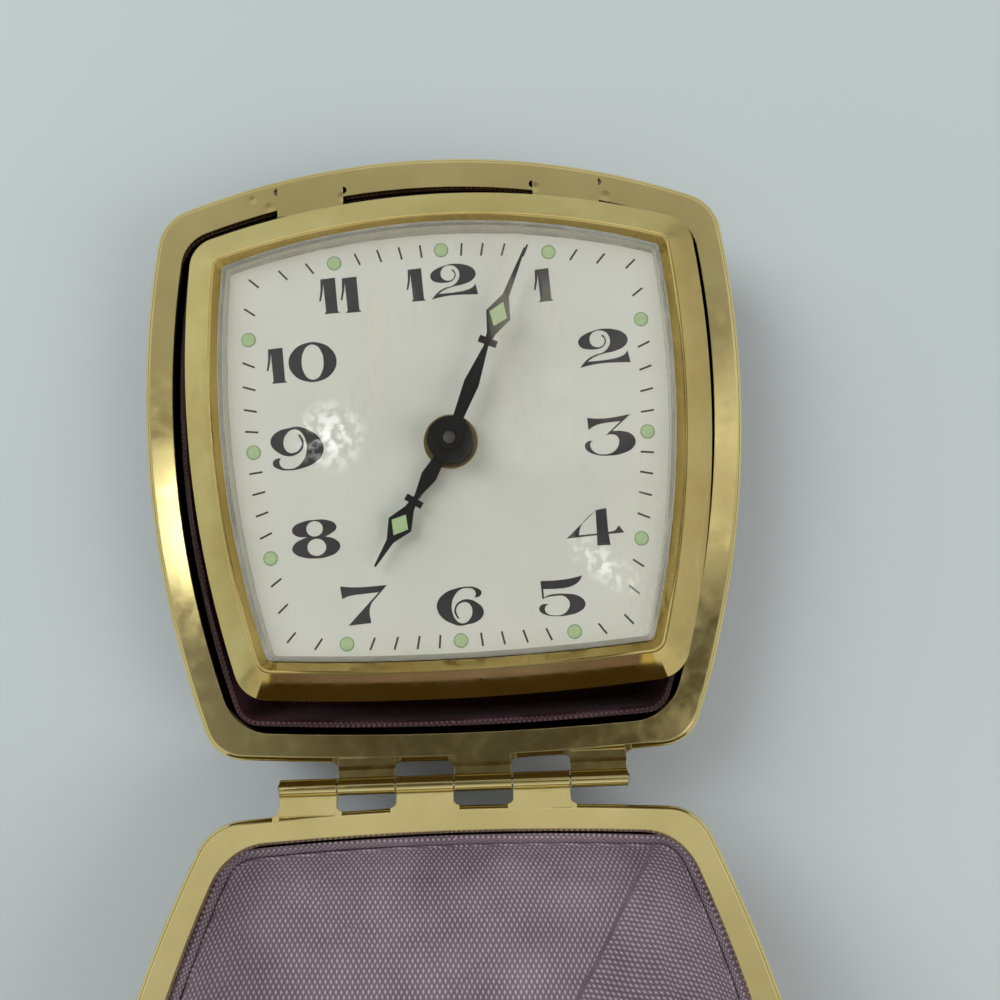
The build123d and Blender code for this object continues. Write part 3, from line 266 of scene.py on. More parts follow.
def polishedMetal(name, look):
    # plated sheet: slow waves from pressing, fine wear, a few long scratches and any knocks
    material, tree, shader = startMaterial(name)
    setInputs(shader, Metallic=1.0)
    tone = noiseAt(tree, look["toneScale"], detail=3.0)
    paintBy(tree, shader, tone, [(0.3, look["dark"]), (0.7, look["light"])])
    wear = noiseAt(tree, look["wearScale"], detail=6.0)
    glossBy(tree, shader, wear, look["smooth"], look["dull"], *look["wearSpan"])
    soft = addNode(tree, "Bevel", Radius=look["edge"] * mm, samples=4)
    worn = bumpOn(tree, shader, noiseAt(tree, look["waveScale"], detail=1.5), look["waveDepth"] * mm,
                  under=soft.outputs["Normal"])
    scratch = noiseAt(tree, look["scratchScale"], detail=2.0, stretch=look["scratchStretch"])
    lines = rangeOf(tree, scratch, 0.0, 1.0, look["scratchFrom"], look["scratchFrom"] + look["scratchEdge"])
    worn = bumpOn(tree, shader, lines, look["scratchDepth"] * mm, look["scratchStrength"], worn)
    for spot, radius in look.get("dents", ()):
        place = addNode(tree, "TexCoord")
        away = addNode(tree, "VectorMath", operation="DISTANCE")
        tree.links.new(place.outputs["Object"], away.inputs[0])
        away.inputs[1].default_value = spot
        hollow = rangeOf(tree, away.outputs["Value"], 1.0, 0.0, 0.0, radius * mm)
        worn = bumpOn(tree, shader, hollow, -look["dentDepth"] * mm, under=worn)
    return material


rimLook = {"dark": (0.76, 0.63, 0.27), "light": (0.87, 0.745, 0.35), "toneScale": 90, "wearScale": 420,
           "wearSpan": (0.35, 0.75), "smooth": 0.07, "dull": 0.22, "edge": 0.14, "waveScale": 60,
           "waveDepth": 0.02, "scratchScale": 300, "scratchStretch": (1, 0.05, 1), "scratchFrom": 0.7,
           "scratchEdge": 0.03, "scratchDepth": 0.006, "scratchStrength": 0.5}
# small knocks in the rear rim beside the slots at its head: place and radius
knocks = [(-22.39, 33.73, 0.8), (-24.65, 34.93, 0.6), (-12.78, 34.93, 0.7), (13.0, 35.43, 0.7),
          (22.28, 33.85, 0.8)]
rimFrame = frame["nodes"]["rear_rim"].matrix_world.inverted()
rearRimLook = dict(rimLook, dentDepth=0.045, dents=[
    (rimFrame @ (Vector((x, y, levels["rimFace"])) * mm), radius) for x, y, radius in knocks])
bezelLook = dict(rimLook, dark=(0.70, 0.53, 0.18), light=(0.84, 0.68, 0.28), smooth=0.05, dull=0.16,
                 waveDepth=0.015, edge=0.12)
movementLook = dict(rimLook, dark=(0.66, 0.51, 0.22), light=(0.74, 0.58, 0.27), smooth=0.24, dull=0.34,
                    scratchScale=900, scratchFrom=0.55, edge=0.05)
steelLook = dict(rimLook, dark=(0.42, 0.42, 0.43), light=(0.58, 0.58, 0.59), smooth=0.14, dull=0.3, edge=0.05)
bluedLook = dict(steelLook, dark=(0.05, 0.08, 0.2), light=(0.1, 0.14, 0.32))
sheetLook = dict(steelLook, dark=(0.28, 0.28, 0.29), light=(0.38, 0.38, 0.38), smooth=0.35, dull=0.5)


def grainedLeather(name, look):
    # leathercloth: rounded pebbles parted by creases, worn smoother in places; the colour darkens into the
    # creases as painted shade
    material, tree, shader = startMaterial(name)
    spot = addNode(tree, "TexCoord")
    cells = addNode(tree, "TexVoronoi", Scale=look["cellScale"], feature="SMOOTH_F1")
    tree.links.new(spot.outputs["Object"], cells.inputs["Vector"])
    creases = rangeOf(tree, cells.outputs["Distance"], 0.0, 1.0, *look["creaseSpan"])
    # painted shade: the colour darkens from each pebble's middle into the creases
    paintBy(tree, shader, creases, [(0.0, look["light"]), (0.9, look["dark"])])
    glossBy(tree, shader, noiseAt(tree, look["wearScale"]), look["smooth"], look["dull"], *look["wearSpan"])
    setInputs(shader, **{"Coat Weight": look["coat"]})
    grain = bumpOn(tree, shader, creases, -look["grainDepth"] * mm)
    fine = noiseAt(tree, look["fineScale"], detail=5.0)
    bumpOn(tree, shader, fine, look["fineDepth"] * mm, look["fineStrength"], grain)
    return material


leatherLook = {"light": (0.16, 0.018, 0.024), "dark": (0.06, 0.006, 0.009), "cellScale": 1300,
               "creaseSpan": (0.15, 0.6), "wearScale": 220, "wearSpan": (0.3, 0.7), "smooth": 0.38,
               "dull": 0.62, "coat": 0.12, "grainDepth": 0.09, "fineScale": 5200, "fineDepth": 0.02,
               "fineStrength": 0.6}


def turnedCloth(tree, thread, turn, fold):
    # cloth coordinates turned by an angle, and turned further beyond the fold
    turned = []
    for angle in (turn, turn + fold["turn"]):
        mapping = addNode(tree, "Mapping", Rotation=(0, 0, math.radians(angle)))
        tree.links.new(thread, mapping.inputs["Vector"])
        turned.append(mapping.outputs["Vector"])
    start, end = fold["start"] * mm, (fold["start"] + fold["width"]) * mm
    beyond = rangeOf(tree, dotWith(tree, thread, (*fold["across"], 0)), 0.0, 1.0, start, end)
    joined = addNode(tree, "Mix", data_type="VECTOR")
    tree.links.new(beyond, joined.inputs[0])
    tree.links.new(turned[0], joined.inputs[4])
    tree.links.new(turned[1], joined.inputs[5])
    return joined.outputs[1]


def wovenSatin(name, look):
    # satin face: rows of short floats set at a slant, with a sheen and a slow change of tone
    material, tree, shader = startMaterial(name)
    thread = addNode(tree, "UVMap", uv_map="cloth")
    turns = ((look["slant"], look["rowPitch"]), (look["slant"] + look["crossing"], look["floatPitch"]))
    fields = []
    for turn, pitch in turns:
        # a wave texture of scale 1 has a period of pi / 10
        wave = addNode(tree, "TexWave", Scale=2 * math.pi / (20 * pitch * mm), Distortion=look["wobble"],
                       Detail=1.0)
        setInputs(wave, **{"Detail Scale": 0.4})
        tree.links.new(turnedCloth(tree, thread.outputs["UV"], turn, look["fold"]), wave.inputs["Vector"])
        fields.append(wave.outputs["Fac"])
    weave = joinedBy(tree, "MULTIPLY", *fields)
    tone = joinedBy(tree, "MULTIPLY_ADD", noiseAt(tree, look["cloudScale"], detail=3.0), look["cloudShare"],
                    rangeOf(tree, weave, 0.0, 1.0 - look["cloudShare"]))
    paintBy(tree, shader, tone, look["tones"])
    setInputs(shader, **look["surface"])
    bumpOn(tree, shader, weave, look["weaveDepth"] * mm, look["weaveStrength"])
    return material


# beyond this line, near the right corner at the hinge, the lid's cloth runs another way
padFold = {"across": (0.841, 0.541), "start": 1.85, "width": 0.5, "turn": 52}
noFold = {"across": (0, 0), "start": 1.0, "width": 1.0, "turn": 0}
mauveLook = {"slant": 30, "crossing": -60, "rowPitch": 0.56, "floatPitch": 0.58, "wobble": 0.7,
             "cloudScale": 110, "cloudShare": 0.4, "weaveDepth": 0.08, "weaveStrength": 0.8, "fold": noFold,
             "tones": [(0.12, (0.11, 0.075, 0.10)), (0.38, (0.25, 0.188, 0.23)),
                       (0.62, (0.42, 0.35, 0.40)), (0.9, (0.62, 0.54, 0.60))],
             "surface": {"Roughness": 0.42, "Specular IOR Level": 0.4, "Sheen Weight": 0.3,
                         "Sheen Roughness": 0.35, "Sheen Tint": (0.88, 0.8, 0.88, 1), "Anisotropic": 0.5}}
# the rear lining is the same mauve satin with its tones painted far darker: painted shade for the tray that
# lies in shadow inside the case
paintedShadeSatinLook = dict(mauveLook, tones=[(0.1, (0.02, 0.005, 0.007)), (0.45, (0.055, 0.016, 0.022)),
                                    (0.85, (0.17, 0.075, 0.10))],
                  surface={"Roughness": 0.3, "Specular IOR Level": 0.6, "Sheen Weight": 0.12,
                           "Sheen Roughness": 0.35, "Sheen Tint": (0.7, 0.55, 0.65, 1), "Anisotropic": 0.5})


def paintedCoat(name, look):
    # paint or lacquer: a mottled tone, uneven gloss and a fine surface
    material, tree, shader = startMaterial(name)
    mottle = noiseAt(tree, look["mottleScale"], look["mottleDetail"])
    paintBy(tree, shader, mottle, [(0.3, look["dark"]), (look["lightFrom"], look["light"])])
    if "glossScale" in look:
        glossBy(tree, shader, noiseAt(tree, look["glossScale"]), look["smooth"], look["dull"])
    else:
        setInputs(shader, Roughness=look["dull"])
    fine = noiseAt(tree, look["fineScale"], detail=3.0) if "fineScale" in look else mottle
    bumpOn(tree, shader, fine, look["fineDepth"] * mm, look["fineStrength"])
    return material


enamelLook = {"dark": (0.81, 0.815, 0.75), "light": (0.86, 0.865, 0.80), "lightFrom": 0.7, "mottleScale": 140,
              "mottleDetail": 4.0, "glossScale": 600, "smooth": 0.3, "dull": 0.45, "fineScale": 2500,
              "fineDepth": 0.004, "fineStrength": 0.5}
handLook = {"dark": (0.006, 0.006, 0.007), "light": (0.0102, 0.0102, 0.0119), "lightFrom": 0.75,
            "mottleScale": 500, "mottleDetail": 4.0, "glossScale": 900, "smooth": 0.3, "dull": 0.45,
            "fineScale": 3000, "fineDepth": 0.006, "fineStrength": 0.6}
inkLook = dict(handLook, dark=(0.022, 0.021, 0.023), light=(0.0374, 0.0357, 0.0391), smooth=0.5, dull=0.65)
lumeLook = {"dark": (0.464, 0.616, 0.336), "light": (0.58, 0.77, 0.42), "lightFrom": 0.75,
            "mottleScale": 2600, "mottleDetail": 5.0, "dull": 0.65, "fineDepth": 0.05, "fineStrength": 0.7}
lumeEdgeLook = dict(lumeLook, dark=(0.208, 0.288, 0.16), light=(0.26, 0.36, 0.2))


def clearAcrylic(name, look):
    # clear moulding: its wall is clouded, and its shadow is let through so that the dial stays lit
    material, tree, shader = startMaterial(name)
    setInputs(shader, **look["surface"])
    glossBy(tree, shader, noiseAt(tree, look["hazeScale"], detail=6.0), 0.0, look["haze"], *look["hazeSpan"])
    waves = noiseAt(tree, look["waveScale"], detail=2.0)
    bumpOn(tree, shader, waves, look["waveDepth"] * mm, look["waveStrength"])
    spot = addNode(tree, "TexCoord")
    lean = joinedBy(tree, "ABSOLUTE", dotWith(tree, spot.outputs["Normal"], look["up"]))
    wall = rangeOf(tree, lean, look["wallCloud"], 0.0, *look["wallSpan"])
    blotch = rangeOf(tree, noiseAt(tree, look["blotchScale"], detail=3.0), look["blotchLeast"], 1.0,
                     *look["blotchSpan"])
    stroke = rangeOf(tree, noiseAt(tree, look["strokeScale"], detail=3.0, stretch=look["strokeStretch"]), 0.0,
                     look["strokeCloud"], *look["strokeSpan"])
    patch = rangeOf(tree, noiseAt(tree, look["patchScale"], detail=1.0), 0.0, 1.0, *look["patchSpan"])
    rubbed = joinedBy(tree, "MULTIPLY_ADD", stroke, patch, joinedBy(tree, "MULTIPLY", wall, blotch))
    cloud = addNode(tree, "BsdfDiffuse", Color=look["cloudTone"])
    clouded = mixedShaders(tree, rubbed, shader.outputs[0], cloud.outputs[0])
    through = addNode(tree, "BsdfTransparent", Color=look["shadowTone"])
    path = addNode(tree, "LightPath")
    lit = mixedShaders(tree, path.outputs["Is Shadow Ray"], clouded, through.outputs[0])
    tree.links.new(lit, tree.nodes["Material Output"].inputs["Surface"])
    return material


acrylicLook = {"up": frame["nodes"]["crystal"].matrix_world.inverted().to_3x3() @ clockUp,
               "surface": {"Base Color": (0.97, 0.98, 0.96, 1), "Transmission Weight": 1.0, "IOR": 1.49},
               "hazeScale": 300, "haze": 0.05, "hazeSpan": (0.5, 0.8), "waveScale": 60, "waveDepth": 0.01,
               "waveStrength": 0.5, "wallCloud": 0.5, "wallSpan": (0.25, 0.8), "blotchScale": 170,
               "blotchLeast": 0.55, "blotchSpan": (0.35, 0.6), "strokeScale": 330, "strokeCloud": 0.22,
               "strokeStretch": (1.0, 0.18, 1.0), "strokeSpan": (0.56, 0.66), "patchScale": 34,
               "patchSpan": (0.52, 0.62), "cloudTone": (0.62, 0.59, 0.50, 1),
               "shadowTone": (0.96, 0.96, 0.95, 1)}

finishes = {
    "rimGilt": polishedMetal("rimGilt", rimLook),
    "rearRimGilt": polishedMetal("rearRimGilt", rearRimLook),
    "bezelGilt": polishedMetal("bezelGilt", bezelLook),
    "movementBrass": polishedMetal("movementBrass", movementLook),
    "steel": polishedMetal("steel", steelLook),
    "bluedSteel": polishedMetal("bluedSteel", bluedLook),
    "pressedSheet": polishedMetal("pressedSheet", sheetLook),
    "leatherette": grainedLeather("leatherette", leatherLook),
    "mauveSatin": wovenSatin("mauveSatin", mauveLook),
    "foldedSatin": wovenSatin("foldedSatin", dict(mauveLook, fold=padFold)),
    "paintedShadeSatin": wovenSatin("paintedShadeSatin", paintedShadeSatinLook),
    "enamel": paintedCoat("enamel", enamelLook),
    "handBlack": paintedCoat("handBlack", handLook),
    "printInk": paintedCoat("printInk", inkLook),
    "lume": paintedCoat("lume", lumeLook),
    "lumeEdge": paintedCoat("lumeEdge", lumeEdgeLook),
    "acrylic": clearAcrylic("acrylic", acrylicLook),
}

# what each node of the frame wears: the rest of the movement is brass
dressing = {
    "rimGilt": ("lid_rim", "alarm_hand"),
    "rearRimGilt": ("rear_rim",),
    "bezelGilt": ("bezel", "pivot_bracket"),
    "steel": ("hinge_pin", "pivot_rod", "centre_arbor", "cannon_pinion", "alarm_set_arbor", "pallet_fork",
              "cover_screws", "alarm_stop_slide", "regulator_lever", "alarm_hammer"),
    "bluedSteel": ("hairspring", "time_mainspring", "alarm_mainspring"),
    "pressedSheet": ("rear_shell", "lid_shell"),
    "leatherette": ("rear_leather", "lid_leather"),
    "enamel": ("dial",),
    "handBlack": ("hour_hand", "minute_hand"),
    "lume": ("hour_lume", "minute_lume"),
    "acrylic": ("crystal",),
}
dressed = {node: finish for finish, nodes in dressing.items() for node in nodes}
for nodeName, nodeObject in frame["nodes"].items():
    nodeObject.data.materials.clear()
    nodeObject.data.materials.append(finishes[dressed.get(nodeName, "movementBrass")])
print("finishes made:", len(finishes))

# Satin linings: a rounded tray of card covered with cloth
trayLook = {"wallSteps": 3, "dropSteps": 5, "curveSteps": 7, "floorSteps": 22, "card": 0.6, "round": 2.6,
            "draft": 0.07, "lip": 0.12, "reach": 35.5, "bowLimit": 12.0, "ripple": 0.14, "fineRipple": 0.05,
            "fineTimes": 3, "rippleScale": 0.11, "rippleRise": 0.2, "sink": 0.1}
rearTray = dict(trayLook, setback=4.2, wall=0.7, floor=1.2, seed=3.0)
lidTray = dict(trayLook, setback=3.3, wall=0.5, floor=2.2, seed=8.0)


def trayProfile(look):
    # inset from the case's outline and height, from the back of the card to the middle of the floor
    top = levels["rimFace"] - levels["cardDrop"]
    low = look["floor"] + look["card"]
    back = look["floor"] + look["card"] / 2
    inner = look["setback"] + look["wall"]
    profile = [(look["setback"], back + (top - back) * step / look["wallSteps"])
               for step in range(look["wallSteps"] + 1)]
    profile.append((inner - look["lip"], top))
    fall = top - look["lip"] - low - look["round"]
    for step in range(look["dropSteps"] + 1):
        height = top - look["lip"] - fall * step / look["dropSteps"]
        profile.append((inner + look["draft"] * (top - height), height))
    foot = profile[-1][0]
    for step in range(1, look["curveSteps"] + 1):
        bend = math.pi / 2 * step / look["curveSteps"]
        across, down = 1 - math.cos(bend), 1 - math.sin(bend)
        profile.append((foot + look["round"] * across, low + look["round"] * down))
    flat = len(profile) - 1
    start = profile[-1][0]
    for step in range(1, look["floorSteps"]):
        profile.append((start + (look["reach"] - start) * step / look["floorSteps"], low))
    return profile, flat


def satinTray(name, look, mirrored):
    profile, flat = trayProfile(look)
    limit, reach = look["bowLimit"], look["reach"]
    rings = []
    for level, (inset, height) in enumerate(profile):
        ring = []
        for point in bowedOutline(caseForm, min(inset, limit)):
            if inset > limit:
                point = point * (reach - inset) / (reach - limit)
            spot = Vector((*(point * look["rippleScale"]), height * look["rippleRise"]))
            spot.x += look["seed"]
            lift = look["ripple"] * noise.noise(spot)
            lift += look["fineRipple"] * noise.noise(spot * look["fineTimes"])
            if level >= flat:
                ring.append((point.x, point.y, height + max(lift, -look["sink"])))
            elif level > look["wallSteps"] + 1:
                inward = point - point.normalized() * lift
                ring.append((inward.x, inward.y, height))
            else:
                ring.append((point.x, point.y, height))
        rings.append(ring)
    return meshFromRings(name, rings, flat, (0, 0, profile[-1][1]), mirrored)


def layCloth(piece, finish, body, node):
    piece.data.materials.append(finishes[finish])
    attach(piece, body)
    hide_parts(node)


# the rear tray wears the satin with painted shade in its tones
rearSatin = newPiece("rear_satin_tray", satinTray("rear_satin_tray", rearTray, False))
layCloth(rearSatin, "paintedShadeSatin", "case", "rear_lining")
lidSatin = newPiece("lid_satin_tray", satinTray("lid_satin_tray", lidTray, True), lidPlace)
layCloth(lidSatin, "mauveSatin", "lid", "lid_lining")
print("satin linings laid")

# Lid pad: cloth that sweeps from the wall to a soft floor, slackened by simulation at twenty times its size
padLook = {"start": 4.35, "low": 4.85, "rise": 7.75, "sweep": 3.1, "end": 19.0, "sweepSteps": 24, "rows": 22,
           "sweepEase": 1.5, "lowerRound": 3.3, "upperRound": 3.8, "roundGrowth": 0.9, "crown": -0.1,
           "cloudScale": 0.09, "cloud": 0.13, "scale": 20.0, "pressure": 1.2, "slack": -0.035,
           "bending": 0.4, "frames": 12, "cap": 0.22, "pinned": 9.5}
# the edge tucked behind the rim: inset from the case's outline and height
padTuck = [(3.95, 12.2), (4.1, 12.65)]


def padProfile():
    profile = list(padTuck)
    for step in range(padLook["sweepSteps"] + 1):
        along = (step / padLook["sweepSteps"]) ** padLook["sweepEase"]
        inset = padLook["start"] + (padLook["end"] - padLook["start"]) * along
        fall = math.exp((padLook["start"] - inset) / padLook["sweep"])
        profile.append((inset, padLook["low"] + padLook["rise"] * fall))
    return profile


def padOutline(inset):
    # the corners grow rounder towards the middle
    growth = max(padLook["roundGrowth"] * (inset - padLook["start"]), 0)
    return bowedOutline(dict(caseForm, fade=0, lower=padLook["lowerRound"] + growth,
                             upper=padLook["upperRound"] + growth), inset)


# creases and rolls of the cloth: start, end, width and height, which is below zero where it sinks
creases = [((23.3, -32.8), (13.0, -17.0), 0.9, -0.32), ((24.6, -31.9), (14.3, -16.1), 1.2, 0.28),
           ((-19.3, -33.0), (-15.0, -25.7), 0.9, -0.3), ((-20.1, -27.1), (-15.0, -25.7), 0.9, -0.22),
           ((14.6, -31.4), (16.2, -31.0), 2.2, -0.5), ((16.7, -27.6), (18.1, -23.5), 0.7, 0.2)]


def creaseLift(point):
    lift = padLook["cloud"] * noise.noise(Vector((point.x, point.y, 0)) * padLook["cloudScale"])
    for start, end, width, depth in creases:
        start, way = Vector(start), Vector(end) - Vector(start)
        share = min(max((point - start).dot(way) / way.length_squared, 0), 1)
        away = (point - start - way * share).length
        lift += depth * math.exp(-(away / width) ** 2)
    return lift


def padMesh():
    profile = padProfile()
    rings = []
    for inset, height in profile:
        fade = min(max((inset - padLook["start"]) / padLook["sweep"], 0), 1)
        rings.append([(p.x, p.y, height + fade * creaseLift(p)) for p in padOutline(inset)])
    edge, low = padOutline(padLook["end"]), profile[-1][1]
    for row in range(1, padLook["rows"]):
        share = 1 - row / padLook["rows"]
        rise = low + padLook["crown"] * (1 - share ** 2)
        rings.append([(p.x * share, p.y * share, rise + creaseLift(p * share)) for p in edge])
    spread = [0.0]
    for (inner, low), (outer, high) in zip(profile[:0:-1], profile[-2::-1]):
        spread.insert(0, spread[0] + math.hypot(inner - outer, high - low) - abs(inner - outer))
    spread += [0.0] * (len(rings) - len(spread))
    middle = (0, 0, rings[-1][0][2])
    return meshFromRings("lid_satin_pad", rings, len(padTuck), middle, True, spread)


def slackenCloth(piece):
    # the cloth is a little larger than its filling, so it lies in soft puckers
    mesh = piece.data
    still = [vertex.co.copy() for vertex in mesh.vertices]
    mesh.transform(Matrix.Scale(padLook["scale"], 4))
    pins = piece.vertex_groups.new(name="sewnEdge")
    base = padLook["pinned"] * mm * padLook["scale"]
    pins.add([vertex.index for vertex in mesh.vertices if vertex.co.z > base], 1.0, "REPLACE")
    cloth = piece.modifiers.new("cloth", "CLOTH")
    cloth.settings.vertex_group_mass = "sewnEdge"
    cloth.settings.use_pressure = True
    cloth.settings.uniform_pressure_force = padLook["pressure"]
    cloth.settings.shrink_min = padLook["slack"]
    cloth.settings.effector_weights.gravity = 0
    cloth.settings.bending_stiffness = padLook["bending"]
    cloth.collision_settings.use_self_collision = False
    cloth.point_cache.frame_end = padLook["frames"]
    for step in range(1, padLook["frames"] + 1):
        bpy.context.scene.frame_set(step)
    worked = piece.evaluated_get(bpy.context.evaluated_depsgraph_get())
    settled = worked.to_mesh()
    moved = [vertex.co / padLook["scale"] for vertex in settled.vertices]
    worked.to_mesh_clear()
    piece.modifiers.clear()
    piece.vertex_groups.clear()
    for vertex, start, end in zip(mesh.vertices, still, moved):
        shift = end - start
        if shift.length > padLook["cap"] * mm:
            shift = shift.normalized() * padLook["cap"] * mm
        vertex.co = start + shift
    bpy.context.scene.frame_set(1)
    mesh.update()


lidPad = newPiece("lid_satin_pad", padMesh())
slackenCloth(lidPad)
lidPad.matrix_world = lidPlace
layCloth(lidPad, "foldedSatin", "lid", "lid_pad")
print("lid pad filled")

# Hinge leaves: the rounded corners between each leaf and the edge of its rim
leafLook = {"length": 43.0, "count": 6, "gap": 0.14, "edge": -38.85, "radius": 0.7, "tuck": 0.15,
            "back": 0.75, "steps": 8, "top": 15.945, "low": 15.37}


def leafCorner(flank, side):
    # outline of one corner, tucked a little under the leaf and the rim
    bow = caseForm["bottomBow"]
    edge = leafLook["edge"] + 2 * bow * math.sin(flank / bow / 2) ** 2
    radius, back = leafLook["radius"], edge + leafLook["back"]
    inside = flank - side * leafLook["tuck"]
    outline = [(inside, back), (flank + side * radius, back)]
    for step in range(leafLook["steps"] + 1):
        turn = math.pi / 2 * step / leafLook["steps"]
        outline.append((flank + side * radius * (1 - math.sin(turn)), edge - radius * (1 - math.cos(turn))))
    outline.append((inside, edge - radius))
    return outline


def addPrism(form, outline, low, high):
    bottom = [form.verts.new(Vector((*point, low)) * mm) for point in outline]
    top = [form.verts.new(Vector((*point, high)) * mm) for point in outline]
    form.faces.new(bottom[::-1])
    form.faces.new(top)
    for step in range(len(outline)):
        after = (step + 1) % len(outline)
        form.faces.new((bottom[step], bottom[after], top[after], top[step]))


def meshOfForm(name, form):
    mesh = bpy.data.meshes.new(name)
    form.to_mesh(mesh)
    form.free()
    return mesh


def leafCorners(name, first, mirrored):
    form = bmesh.new()
    pitch = leafLook["length"] / leafLook["count"]
    for index in range(first, leafLook["count"], 2):
        middle = pitch * (index + 0.5) - leafLook["length"] / 2
        for side in (-1, 1):
            flank = middle + side * (pitch - leafLook["gap"]) / 2
            addPrism(form, leafCorner(flank, side), leafLook["low"], leafLook["top"])
    if mirrored:
        mirrorOverHinge(form)
    bmesh.ops.recalc_face_normals(form, faces=form.faces)
    mesh = meshOfForm(name, form)
    smoothFaces(mesh)
    return mesh


rearFillets = newPiece("rear_leaf_fillets", leafCorners("rear_leaf_fillets", 1, False))
lidFillets = newPiece("lid_leaf_fillets", leafCorners("lid_leaf_fillets", 0, True), lidPlace)
for piece, body in ((rearFillets, "case"), (lidFillets, "lid")):
    piece.data.materials.append(finishes["rimGilt"])
    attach(piece, body)
print("hinge leaves rounded")

# Printed hour figures: outlines drawn in small units, smooth points as plain pairs and corners as triples
figureOne = [[(45, 65, 1), (160, 57, 1), (172, 325, 1), (190, 340, 1), (65, 345, 1), (80, 325, 1),
              (66, 105, 1), (58, 170, 1), (42, 240, 1), (28, 240, 1), (42, 160, 1)]]
figureTwo = [[(210, 88, 1), (233, 115), (232, 145), (212, 170), (172, 178), (132, 158), (117, 118),
              (130, 75), (165, 50), (190, 46), (235, 55), (268, 90), (277, 130), (262, 180), (215, 222),
              (150, 240), (90, 272), (30, 335, 1), (90, 322), (160, 311), (250, 306), (428, 310, 1),
              (410, 215, 1), (385, 245), (330, 268), (250, 281), (90, 290, 1), (140, 258), (220, 232),
              (310, 215), (380, 185), (413, 145), (413, 110), (380, 70), (310, 42), (240, 34), (190, 37),
              (150, 47), (80, 72), (35, 108), (27, 135), (45, 172), (90, 190), (140, 195), (190, 190),
              (225, 172), (245, 135), (240, 105), (222, 80, 1)]]
figureThree = [[(72, 47, 1), (150, 57), (240, 57), (422, 35, 1), (268, 164, 1), (345, 168), (420, 195),
                (452, 250), (430, 305), (350, 347), (220, 362), (115, 345), (55, 310), (40, 275),
                (60, 242), (112, 233, 1), (90, 248), (85, 280), (120, 330), (210, 350), (280, 325),
                (316, 270), (318, 232), (295, 200), (255, 190), (215, 197, 1), (338, 88, 1), (220, 95),
                (135, 112), (78, 145, 1)]]
figureFour = [[(293, 52, 1), (373, 40, 1), (378, 232, 1), (430, 222), (465, 185, 1), (505, 242, 1),
               (380, 248, 1), (390, 335, 1), (285, 335, 1), (287, 252, 1), (42, 268, 1)], [(143, 245, 1),
               (160, 180), (235, 95), (287, 60, 1), (287, 240, 1)]]
figureFive = [[(65, 47, 1), (200, 48), (300, 40), (405, 20, 1), (370, 70), (300, 105), (220, 115),
               (84, 113, 1), (86, 183, 1), (120, 165), (180, 157), (270, 160), (360, 180), (412, 230),
               (410, 270), (360, 310), (270, 332), (180, 335), (100, 322), (50, 292), (42, 270), (60, 240),
               (122, 233, 1), (95, 252), (88, 280), (110, 312), (170, 328), (230, 322), (275, 285),
               (290, 245), (275, 200), (240, 175), (180, 172), (110, 180), (72, 194, 1)]]
figureSix = [[(290, 45), (355, 57), (397, 92), (385, 125), (338, 138, 1), (350, 105), (330, 68), (285, 56),
              (230, 65), (180, 110), (152, 180), (155, 250), (178, 305), (215, 335), (250, 337),
              (290, 310), (315, 255), (308, 205), (275, 172), (235, 172), (200, 195), (185, 235),
              (208, 298, 1), (195, 300, 1), (170, 245), (185, 190), (230, 155), (290, 148), (360, 180),
              (405, 235), (400, 285), (340, 335), (270, 350), (218, 358), (150, 338), (70, 285), (32, 215),
              (38, 155), (95, 92), (180, 58)]]
figureSeven = [[(42, 33, 1), (140, 46), (280, 48), (430, 42, 1), (298, 182, 1), (278, 240), (287, 347, 1),
                (98, 360, 1), (360, 98, 1), (240, 105), (110, 118), (57, 138, 1)]]


def ovalPath(middle, halfWide, halfHigh, count=10):
    return [(middle[0] + halfWide * math.cos(2 * math.pi * step / count),
             middle[1] + halfHigh * math.sin(2 * math.pi * step / count)) for step in range(count)]


figureEight = [[(235, 48), (340, 55), (410, 95), (412, 130), (370, 165), (320, 190, 1), (390, 210),
                (440, 265), (420, 315), (340, 355), (240, 366), (130, 352), (60, 315), (45, 285),
                (70, 235), (150, 195), (170, 188, 1), (90, 178), (50, 140), (60, 100),
                (140, 60)], ovalPath((235, 122), 68, 63), ovalPath((247, 275), 77, 70)]
figureZero = [ovalPath((397, 186), 192, 161), ovalPath((397, 186), 88, 143)]
figureNine = [[(440 - point[0], 402 - point[1], *point[2:]) for point in figureSix[0]]]


def movedFigure(figure, shift):
    return [[(point[0] + shift, *point[1:]) for point in path] for path in figure]


dialFigures = {
    12: (movedFigure(figureOne, -30) + movedFigure(figureTwo, 178), (-0.10, 20.45), 9.02),
    11: (movedFigure(figureOne, 0) + movedFigure(figureOne, 170), (-13.08, 19.45), 5.33),
    10: (movedFigure(figureOne, 0) + figureZero, (-18.29, 11.05), 8.84),
    9: (figureNine, (-19.27, 0.27), 6.52), 8: (figureEight, (-17.40, -11.23), 5.98),
    7: (figureSeven, (-11.75, -19.72), 5.83), 6: (figureSix, (0.10, -20.54), 5.71),
    5: (figureFive, (12.73, -19.97), 5.72), 4: (figureFour, (17.39, -11.63), 7.25),
    3: (figureThree, (19.96, -0.23), 6.41), 2: (figureTwo, (19.94, 10.95), 6.46),
    1: (figureOne, (12.72, 19.39), 2.42),
}
printHeight = 0.012
curveSteps = 8


